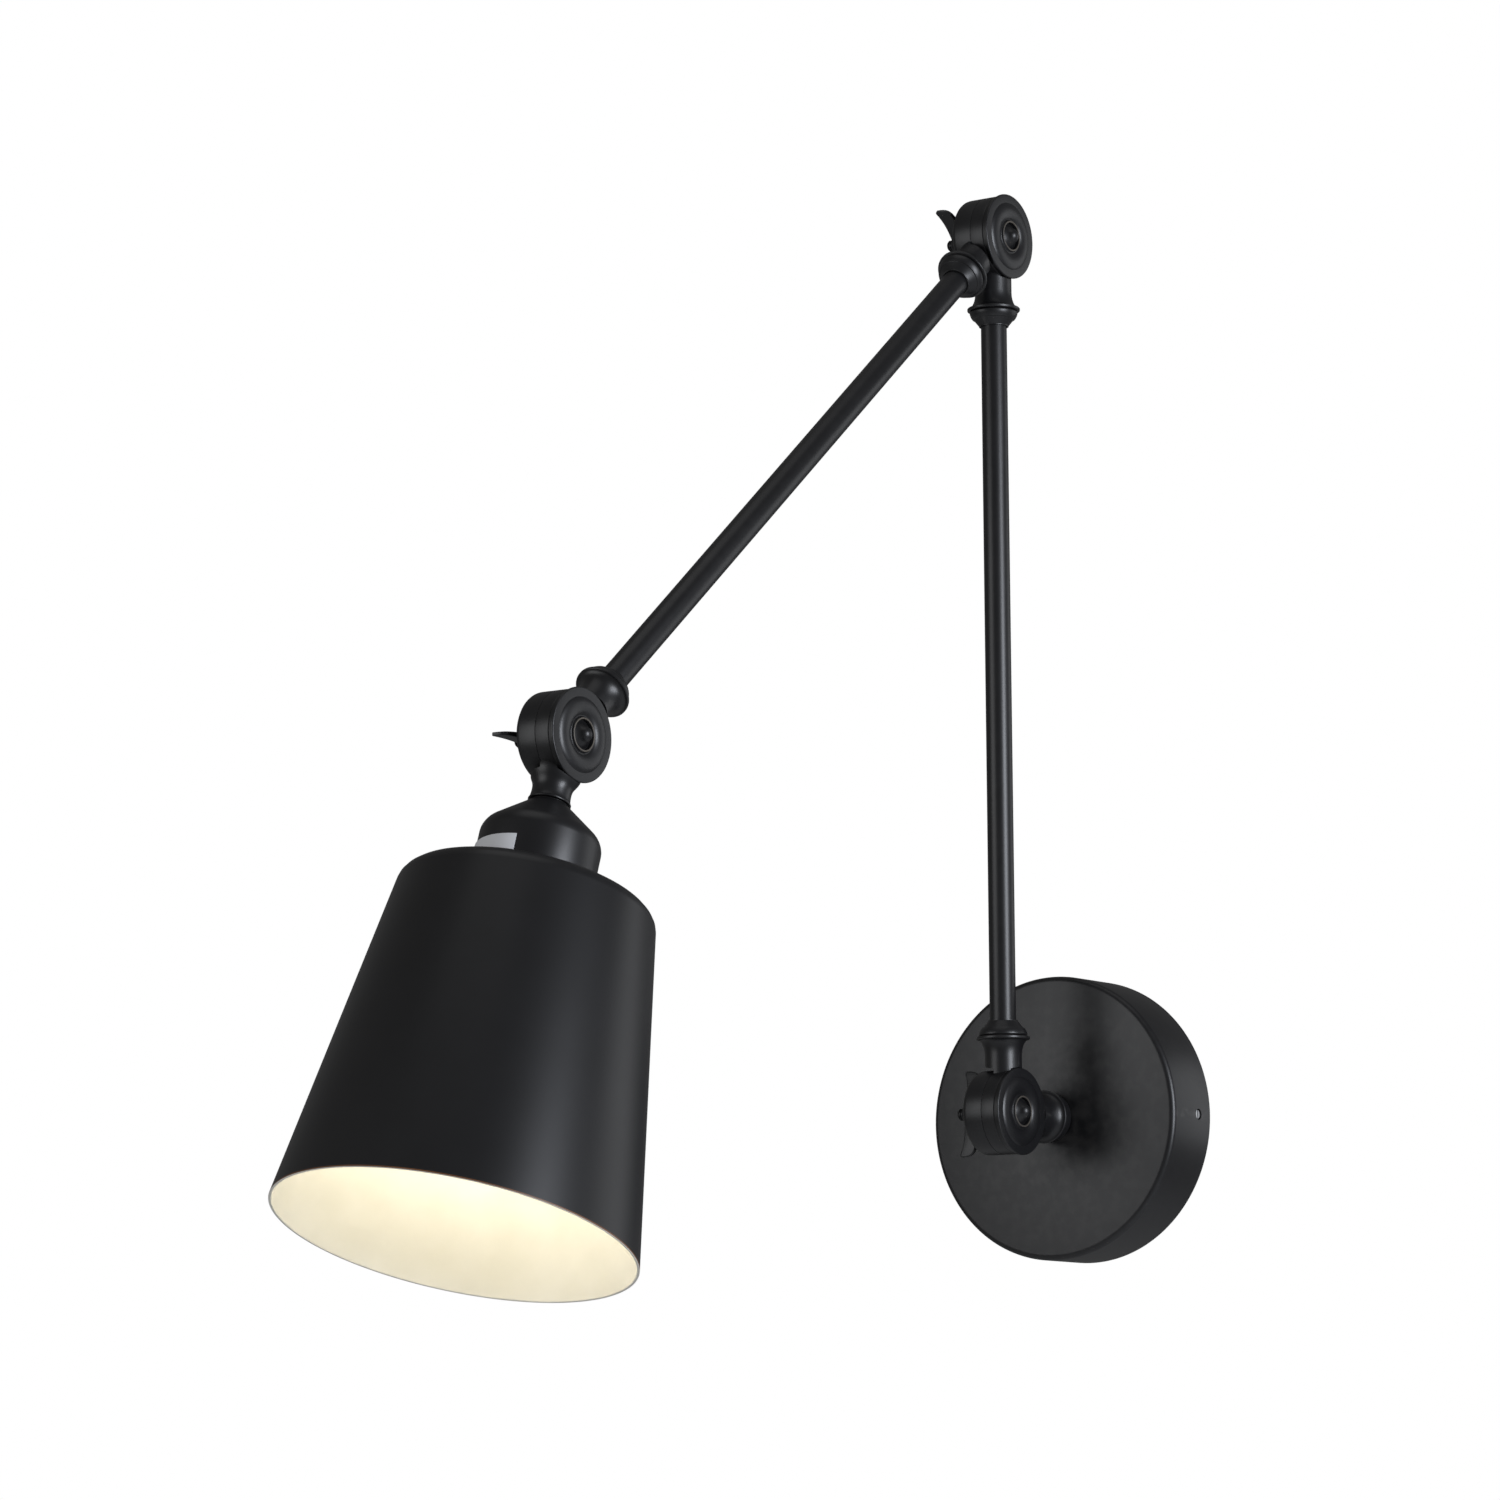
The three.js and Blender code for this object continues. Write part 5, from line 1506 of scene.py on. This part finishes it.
@dataclass(frozen=True)
class LampHead(Assembly):
    """The socket cup, lamp holder, shade and lamp.

    Distances are in metres, from the head's pivot along the lamp's axis.
    """

    cup_top: float = 0.0279
    cup_seat_radius: float = 0.0074
    cup_seat_thickness: float = 0.0023
    cup_lip: float = 0.0003
    cup_radius: float = 0.023
    cup_wall: float = 0.0011
    cup_shoulder: float = 0.0132
    cup_shoulder_round: float = 0.0032
    cup_end: float = 0.0649
    stub_hole: float = 0.0053
    nut_flat_radius: float = 0.007
    nut_start: float = 0.0305
    nut_thickness: float = 0.0026
    holder_top: float = 0.036
    holder_radius: float = 0.0174
    holder_bore: float = 0.015
    holder_floor: float = 0.042
    holder_shoulder: float = 0.0055
    flange_radius: float = 0.0208
    flange_start: float = 0.0619
    flange_end: float = 0.0649
    holder_end: float = 0.0832
    shade_top: float = 0.0652
    shade_top_radius: float = 0.048
    shade_round: float = 0.0065
    shade_mouth: float = 0.1992
    shade_mouth_radius: float = 0.068
    shade_wall: float = 0.001
    # Width of the band round the outside of the mouth that is painted with the bulb's warm glow.
    painted_glow_band: float = 0.0007
    ring_start: float = 0.0665
    ring_radius: float = 0.026
    ring_end: float = 0.0715
    lamp_cap_radius: float = 0.0132
    lamp_cap_start: float = 0.0552
    lamp_cap_end: float = 0.0802
    glass_start: float = 0.0805
    globe_centre: float = 0.1305
    globe_radius: float = 0.030
    glass_wall: float = 0.0009
    label_start: float = 72.0  # degrees round the cup
    label_sweep: float = 78.0
    label_low: float = 0.0505
    label_height: float = 0.012
    label_thickness: float = 0.00025

    def cup(self) -> BMesh:
        """The socket cup: a flat seat, a cone, a rounded corner and a straight wall, open at the shade."""
        lip, corner = self.cup_top + self.cup_lip, self.cup_top + self.cup_shoulder
        slope = math.atan2(self.cup_radius - self.cup_seat_radius, corner - lip)
        inner, rounding = self.cup_radius - self.cup_wall, self.cup_shoulder_round
        inner_corner = corner + self.cup_wall * math.tan(slope / 2)
        seat_end = self.cup_top + self.cup_seat_thickness
        seat_edge = inner - (inner_corner - seat_end) * math.tan(slope)
        return turned([
            Corner(self.stub_hole, self.cup_top),
            Corner(self.cup_seat_radius, self.cup_top, 0.0001),
            Corner(self.cup_seat_radius, lip, 0.0001),
            Corner(self.cup_radius, corner, rounding),
            Corner(self.cup_radius, self.cup_end, 0.0003),
            Corner(inner, self.cup_end),
            Corner(inner, inner_corner, rounding - self.cup_wall * math.tan(slope / 2)),
            Corner(seat_edge, seat_end),
            Corner(self.stub_hole, seat_end),
        ], Steps.MEDIUM)

    def label(self) -> BMesh:
        """The plain film label round part of the cup."""
        inner = self.cup_radius + REST_GAP
        outer, top = inner + self.label_thickness, self.label_low + self.label_height
        film = outline_of([
            Corner(inner, self.label_low), Corner(outer, self.label_low),
            Corner(outer, top), Corner(inner, top),
        ], closed=True)
        film.transform(Matrix.Rotation(math.radians(self.label_start), 4, "Z"))
        bmesh.ops.spin(
            film, geom=film.verts[:] + film.edges[:],
            cent=(0, 0, 0), axis=(0, 0, 1), dvec=(0, 0, 0),
            angle=math.radians(self.label_sweep), steps=Steps.FINE.value, use_merge=False, use_duplicate=False,
        )
        bmesh.ops.holes_fill(film, edges=[edge for edge in film.edges if edge.is_boundary], sides=4)
        return tidied(film)

    def holder(self) -> BMesh:
        """The lamp holder: a body, a flange above the shade and a coarsely threaded skirt."""
        thread = grooves(self.holder_radius, 0.0006, self.ring_end + 0.001, self.holder_end - 0.0015, 0.0022)
        return turned([
            Corner(self.stub_hole, self.holder_top),
            Corner(self.holder_radius - self.holder_shoulder, self.holder_top, 0.001),
            Corner(self.holder_radius, self.holder_top + self.holder_shoulder, 0.001),
            Corner(self.holder_radius, self.flange_start),
            Corner(self.flange_radius, self.flange_start, 0.0005),
            Corner(self.flange_radius, self.flange_end, 0.0003),
            Corner(self.holder_radius, self.flange_end),
            *thread,
            Corner(self.holder_radius - 0.0005, self.holder_end, 0.0004),
            Corner(self.holder_bore, self.holder_end, 0.0003),
            Corner(self.holder_bore, self.holder_floor),
            Corner(self.stub_hole, self.holder_floor),
        ], Steps.MEDIUM)

    def shade_ring(self) -> BMesh:
        """The threaded ring that clamps the shade: a flange, a hub and finger notches in its edge."""
        bore = self.holder_radius + REST_GAP
        hub = bore + 0.003
        ring = turned([
            Corner(bore, self.ring_start),
            Corner(self.ring_radius, self.ring_start, 0.0003),
            Corner(self.ring_radius, self.ring_start + 0.0016, 0.0006),
            Corner(hub, self.ring_start + 0.0024, 0.0004),
            Corner(hub, self.ring_end, 0.0006),
            Corner(bore, self.ring_end, 0.0003),
        ], Steps.MEDIUM)
        notches = 12
        for turn in range(notches):
            notch = rod(0.0016, self.ring_start - 0.001, self.ring_end, Steps.FINE)
            moved(notch, self.ring_radius + 0.0006, 0, 0)
            notch.transform(Matrix.Rotation(FULL_TURN * turn / notches, 4, "Z"))
            ring = shaped(ring, Shaping.CUT, notch)
        return ring

    def shade_side(self, inset: float) -> list[Corner]:
        """The shade's shoulder and side, moved inwards.

        Args:
            inset: How far from the outer surface.

        Returns:
            The corners from the top plate to the mouth.
        """
        slope = math.atan2(self.shade_mouth_radius - self.shade_top_radius, self.shade_mouth - self.shade_top)
        top, mouth_radius = self.shade_top + inset, self.shade_mouth_radius - inset / math.cos(slope)
        side_top = self.shade_top_radius - inset / math.cos(slope) + inset * math.tan(slope)
        soften = (self.shade_round - inset) * math.tan((math.pi / 2 - slope) / 2)
        return [Corner(side_top, top, soften), Corner(mouth_radius, self.shade_mouth)]

    def shade(self) -> BMesh:
        """The shade, with its outside, a painted warm glow line round the outside of its mouth and its inside
        as materials 0, 1 and 2.
        """
        hole = self.holder_radius + REST_GAP
        outside, inside = self.shade_side(0), self.shade_side(self.shade_wall)
        line = self.shade_mouth - self.painted_glow_band
        shell = turned([
            Corner(hole, self.shade_top),
            outside[0],
            Corner(outside[1].radius, self.shade_mouth, 0.0003),
            Corner(inside[1].radius, self.shade_mouth, 0.0003),
            inside[0],
            Corner(hole, self.shade_top + self.shade_wall),
        ], Steps.LARGE)
        bmesh.ops.bisect_plane(shell, geom=shell.verts[:] + shell.edges[:] + shell.faces[:],
                               plane_co=(0, 0, line), plane_no=(0, 0, 1))
        for face in shell.faces:
            centre = face.calc_center_median()
            outwards = face.normal.dot(Vector((centre.x, centre.y, 0)).normalized())
            if outwards < 0 or face.normal.z > 0.5:
                face.material_index = 2
            # The outside's last band before the mouth is painted with the bulb's warm glow.
            elif centre.z > line:
                face.material_index = 1
        return shell

    def lamp_cap(self) -> BMesh:
        """The lamp's screw cap: contact tip, black collar's cone and a rolled thread."""
        start, end, radius = self.lamp_cap_start, self.lamp_cap_end, self.lamp_cap_radius
        tip = start - 0.003
        pitch = 0.0036
        rolled = []
        for turn in range(5):
            crest = start + 0.0052 + turn * pitch
            rolled.append(Corner(radius, crest, 0.0008))
            rolled.append(Corner(radius - 0.0009, crest + pitch / 2, 0.0008))
        return turned([
            Corner(0, tip),
            Corner(0.0036, tip + 0.0004, 0.0004),
            Corner(0.005, start - 0.001, 0.0003),
            Corner(0.0095, start + 0.002, 0.0005),
            Corner(radius - 0.0008, start + 0.0034, 0.0005),
            *rolled,
            Corner(radius, end),
            Corner(0, end),
        ], Steps.MEDIUM)

    def globe(self) -> BMesh:
        """The frosted bulb: a short neck that swells into a sphere, open at the cap."""
        neck = self.lamp_cap_radius - 0.0004
        join = math.radians(-52)

        def surface(inset: float) -> list[Corner]:
            """The glass from cap to crown, moved inwards."""
            radius = self.globe_radius - inset
            arrive = (radius * math.cos(join), self.globe_centre + radius * math.sin(join))
            cheek = bend(
                (neck - inset, self.glass_start), (neck - inset, self.glass_start + 0.009),
                (arrive[0] + 0.008 * math.sin(join), arrive[1] - 0.008 * math.cos(join)), arrive, 14,
            )
            steps = 30
            turns = [join + (math.pi / 2 - join) * (step / steps) for step in range(1, steps)]
            ball = [
                Corner(radius * math.cos(turn), self.globe_centre + radius * math.sin(turn)) for turn in turns
            ]
            return [*cheek, *ball, Corner(0, self.globe_centre + radius)]

        return turned([*reversed(surface(self.glass_wall)), *surface(0)], Steps.MEDIUM)

    def build(self, seat: Seat) -> None:
        """Adds the lamp head's pieces.

        Args:
            seat: The head's pivot and its lean.
        """
        body, paint, plastic = Body.LAMP_HEAD, Slot.BLACK_PAINT, Slot.HOLDER_PLASTIC
        self.add("socket_cup", self.cup(), seat, body, paint)
        nut = hexagon_nut(self.nut_flat_radius, self.stub_hole, self.nut_start, self.nut_thickness)
        self.add("socket_cup_nut", nut, seat, body, Slot.STEEL)
        self.add("socket_label", self.label(), seat, body, Slot.LABEL_FILM)
        self.add("lamp_holder", self.holder(), seat, body, plastic)
        self.add("shade_ring", self.shade_ring(), seat, body, plastic)
        shade = self.add("shade", self.shade(), seat, body, paint)
        # The shade's second material is the painted warm glow of the bulb round its mouth.
        shade.data.materials.append(self.palette.rim)
        shade.data.materials.append(self.palette.enamel)
        self.add("bulb_cap", self.lamp_cap(), seat, body, Slot.LAMP_CAP)
        self.add("bulb_glass", self.globe(), seat, body, Slot.BULB_GLASS)
        self.add("head_flex", refined("head_flex"), None, body, Slot.FLEX_SHEATH)
        self.add("lamp_holder_contact", refined("lamp_holder_contact", 0.0001), None, body, Slot.BRASS)
        self.add("lamp_holder_shell", refined("lamp_holder_shell"), None, body, Slot.BRASS)


# ------------------------------------------------------------------ studio


@dataclass(frozen=True)
class Softbox:
    """A large soft light.

    Attributes:
        name: Its name.
        azimuth: Degrees round the object from straight in front, positive towards +X.
        elevation: Degrees above the horizon.
        distance: Metres from the object's middle.
        width: Its width, in metres.
        height: Its height, in metres.
        power: Its power, in watts.
        tint: Its colour.
    """

    name: str
    azimuth: float
    elevation: float
    distance: float
    width: float
    height: float
    power: float
    tint: Colour = (1.0, 1.0, 1.0)

    def build(self, middle: Vector) -> None:
        """Adds the light, facing the object's middle."""
        turn, rise = math.radians(self.azimuth), math.radians(self.elevation)
        away = Vector((math.sin(turn) * math.cos(rise), -math.cos(turn) * math.cos(rise), math.sin(rise)))
        lamp = bpy.data.lights.new(self.name, "AREA")
        lamp.shape, lamp.size, lamp.size_y = "RECTANGLE", self.width, self.height
        lamp.energy, lamp.color = self.power, self.tint
        holder = bpy.data.objects.new(self.name, lamp)
        facing = away.to_track_quat("Z", "Y").to_matrix().to_4x4()
        holder.matrix_world = Matrix.Translation(middle + away * self.distance) @ facing
        bpy.context.scene.collection.objects.link(holder)


@dataclass(frozen=True)
class Studio:
    """A pale floor, a plain bright backdrop, soft lights and the camera."""

    camera_place: tuple[float, float, float] = (1.1757, -1.8819, -0.1674)
    camera_heading: float = 35.73  # degrees that the view turns from +Y towards -X
    camera_pitch: float = 8.43  # degrees that it looks up
    camera_roll: float = -0.07
    lens: float = 124.53
    sensor: float = 36.0
    floor_height: float = -1.1
    floor_size: float = 14.0
    backdrop: Colour = (1.0, 1.0, 1.0)
    surround: float = 0.12  # how bright the backdrop is to the object, against how it looks

    def camera(self) -> None:
        """Adds the camera and makes it the scene's."""
        data = bpy.data.cameras.new("studio_camera")
        data.lens, data.sensor_width = self.lens, self.sensor
        data.clip_start, data.clip_end = 0.05, 50.0
        camera = bpy.data.objects.new("studio_camera", data)
        heading, pitch = math.radians(self.camera_heading), math.radians(self.camera_pitch)
        turn = Matrix.Rotation(heading, 4, "Z") @ Matrix.Rotation(math.pi / 2 + pitch, 4, "X")
        roll = Matrix.Rotation(math.radians(self.camera_roll), 4, "Z")
        camera.matrix_world = Matrix.Translation(self.camera_place) @ turn @ roll
        bpy.context.scene.collection.objects.link(camera)
        bpy.context.scene.camera = camera

    def world(self) -> None:
        """Sets the backdrop: bright to the camera, dimmer to the object."""
        world = bpy.data.worlds.new("studio_backdrop")
        world.use_nodes = True
        tree = world.node_tree
        tree.nodes.clear()
        seen, lit = add_node(tree, "ShaderNodeBackground"), add_node(tree, "ShaderNodeBackground")
        feed(tree, seen.inputs["Color"], opaque(self.backdrop))
        feed(tree, lit.inputs["Color"], opaque(self.backdrop))
        feed(tree, lit.inputs["Strength"], self.surround)
        choice = add_node(tree, "ShaderNodeMixShader")
        feed(tree, choice.inputs[0], add_node(tree, "ShaderNodeLightPath").outputs["Is Camera Ray"])
        feed(tree, choice.inputs[1], lit.outputs[0])
        feed(tree, choice.inputs[2], seen.outputs[0])
        feed(tree, add_node(tree, "ShaderNodeOutputWorld").inputs["Surface"], choice.outputs[0])
        bpy.context.scene.world = world

    def floor(self) -> None:
        """Adds the pale floor, which can't be seen from below."""
        mesh = bmesh.new()
        bmesh.ops.create_grid(mesh, x_segments=1, y_segments=1, size=self.floor_size / 2)
        floor = mesh_object("studio_floor", moved(mesh, 0, 0, self.floor_height), None)
        material = bpy.data.materials.new("pale_floor")
        material.use_nodes = True
        tree = material.node_tree
        shader = tree.nodes["Principled BSDF"]
        tone = ranged(tree, noise(tree, object_place(tree), 3.0, 3.0), 0.3, 0.7)
        colour = mixed(tree, tone, opaque((0.86, 0.86, 0.86)), opaque((0.84, 0.84, 0.84)))
        feed(tree, shader.inputs["Base Color"], colour)
        shader.inputs["Roughness"].default_value = 0.8
        choice = add_node(tree, "ShaderNodeMixShader")
        feed(tree, choice.inputs[0], add_node(tree, "ShaderNodeNewGeometry").outputs["Backfacing"])
        feed(tree, choice.inputs[1], shader.outputs[0])
        feed(tree, choice.inputs[2], add_node(tree, "ShaderNodeBsdfTransparent").outputs[0])
        feed(tree, tree.nodes["Material Output"].inputs["Surface"], choice.outputs[0])
        floor.data.materials.append(material)
        floor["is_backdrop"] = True

    def build(self, middle: Vector) -> None:
        """Adds the whole studio round the object's middle."""
        self.camera()
        self.world()
        self.floor()
        for softbox in (
            Softbox("key_softbox", 86, 3, 1.6, 0.6, 0.9, 24, (0.88, 0.92, 1.0)),
            Softbox("front_softbox", -26, 5, 2.2, 1.4, 1.4, 12, (0.97, 0.98, 1.0)),
            Softbox("wall_side_softbox", 150, 5, 2.2, 1.2, 1.2, 4, (0.95, 0.97, 1.0)),
            Softbox("top_softbox", 10, 78, 2.2, 1.6, 1.6, 4),
        ):
            softbox.build(middle)
        scene = bpy.context.scene
        scene.view_settings.view_transform = "Standard"
        scene.view_settings.look = "None"


# ------------------------------------------------------------------ the light


def main() -> None:
    """Builds the studio and the light."""
    logging.basicConfig(level=logging.INFO, format="%(name)s: %(message)s")
    cad_box = [list(corner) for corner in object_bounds()]
    base, elbow, head = (pivot_of(f"{name}_pivot") for name in ("base", "elbow", "head"))
    Studio().build((Vector(cad_box[0]) + Vector(cad_box[1])) / 2)

    neck = Seat(base, lean_between(base, Vector((0, 0, 0))))
    lower = Seat(base, lean_between(base, elbow))
    upper = Seat(elbow, lean_between(elbow, head))
    lamp = Seat(head, lean_between(head, middle_of("head_flex")))
    globe = lamp.matrix() @ Vector((0, 0, LampHead.globe_centre))
    palette = Palette(globe)

    tube_socket = Arm.tube_radius + REST_GAP
    nipple_socket = WallSide.nipple_radius + REST_GAP
    lamp_bore = 0.004
    WallSide(palette).build(neck)
    Knuckle(palette, "base", neck, lower).build(
        Body.WALL_MOUNT, Body.LOWER_ARM, Body.BASE_WING, nipple_socket, tube_socket, math.radians(-7))
    Arm(palette).build("lower_arm", lower, elbow, ("base", "elbow"), Side.FRONT, Body.LOWER_ARM)
    Knuckle(palette, "elbow", upper, Seat(elbow, lower.lean).turned_back()).build(
        Body.UPPER_ARM, Body.LOWER_ARM, Body.ELBOW_WING, tube_socket, tube_socket, math.radians(47))
    Arm(palette).build("upper_arm", upper, head, ("elbow", "head"), Side.REAR, Body.UPPER_ARM)
    Knuckle(palette, "head", Seat(head, upper.lean).turned_back(), lamp).build(
        Body.UPPER_ARM, Body.LAMP_HEAD, Body.HEAD_WING, tube_socket, lamp_bore, math.radians(88), Neck.LAMP)
    LampHead(palette).build(lamp)


if __name__ == "__main__":
    main()
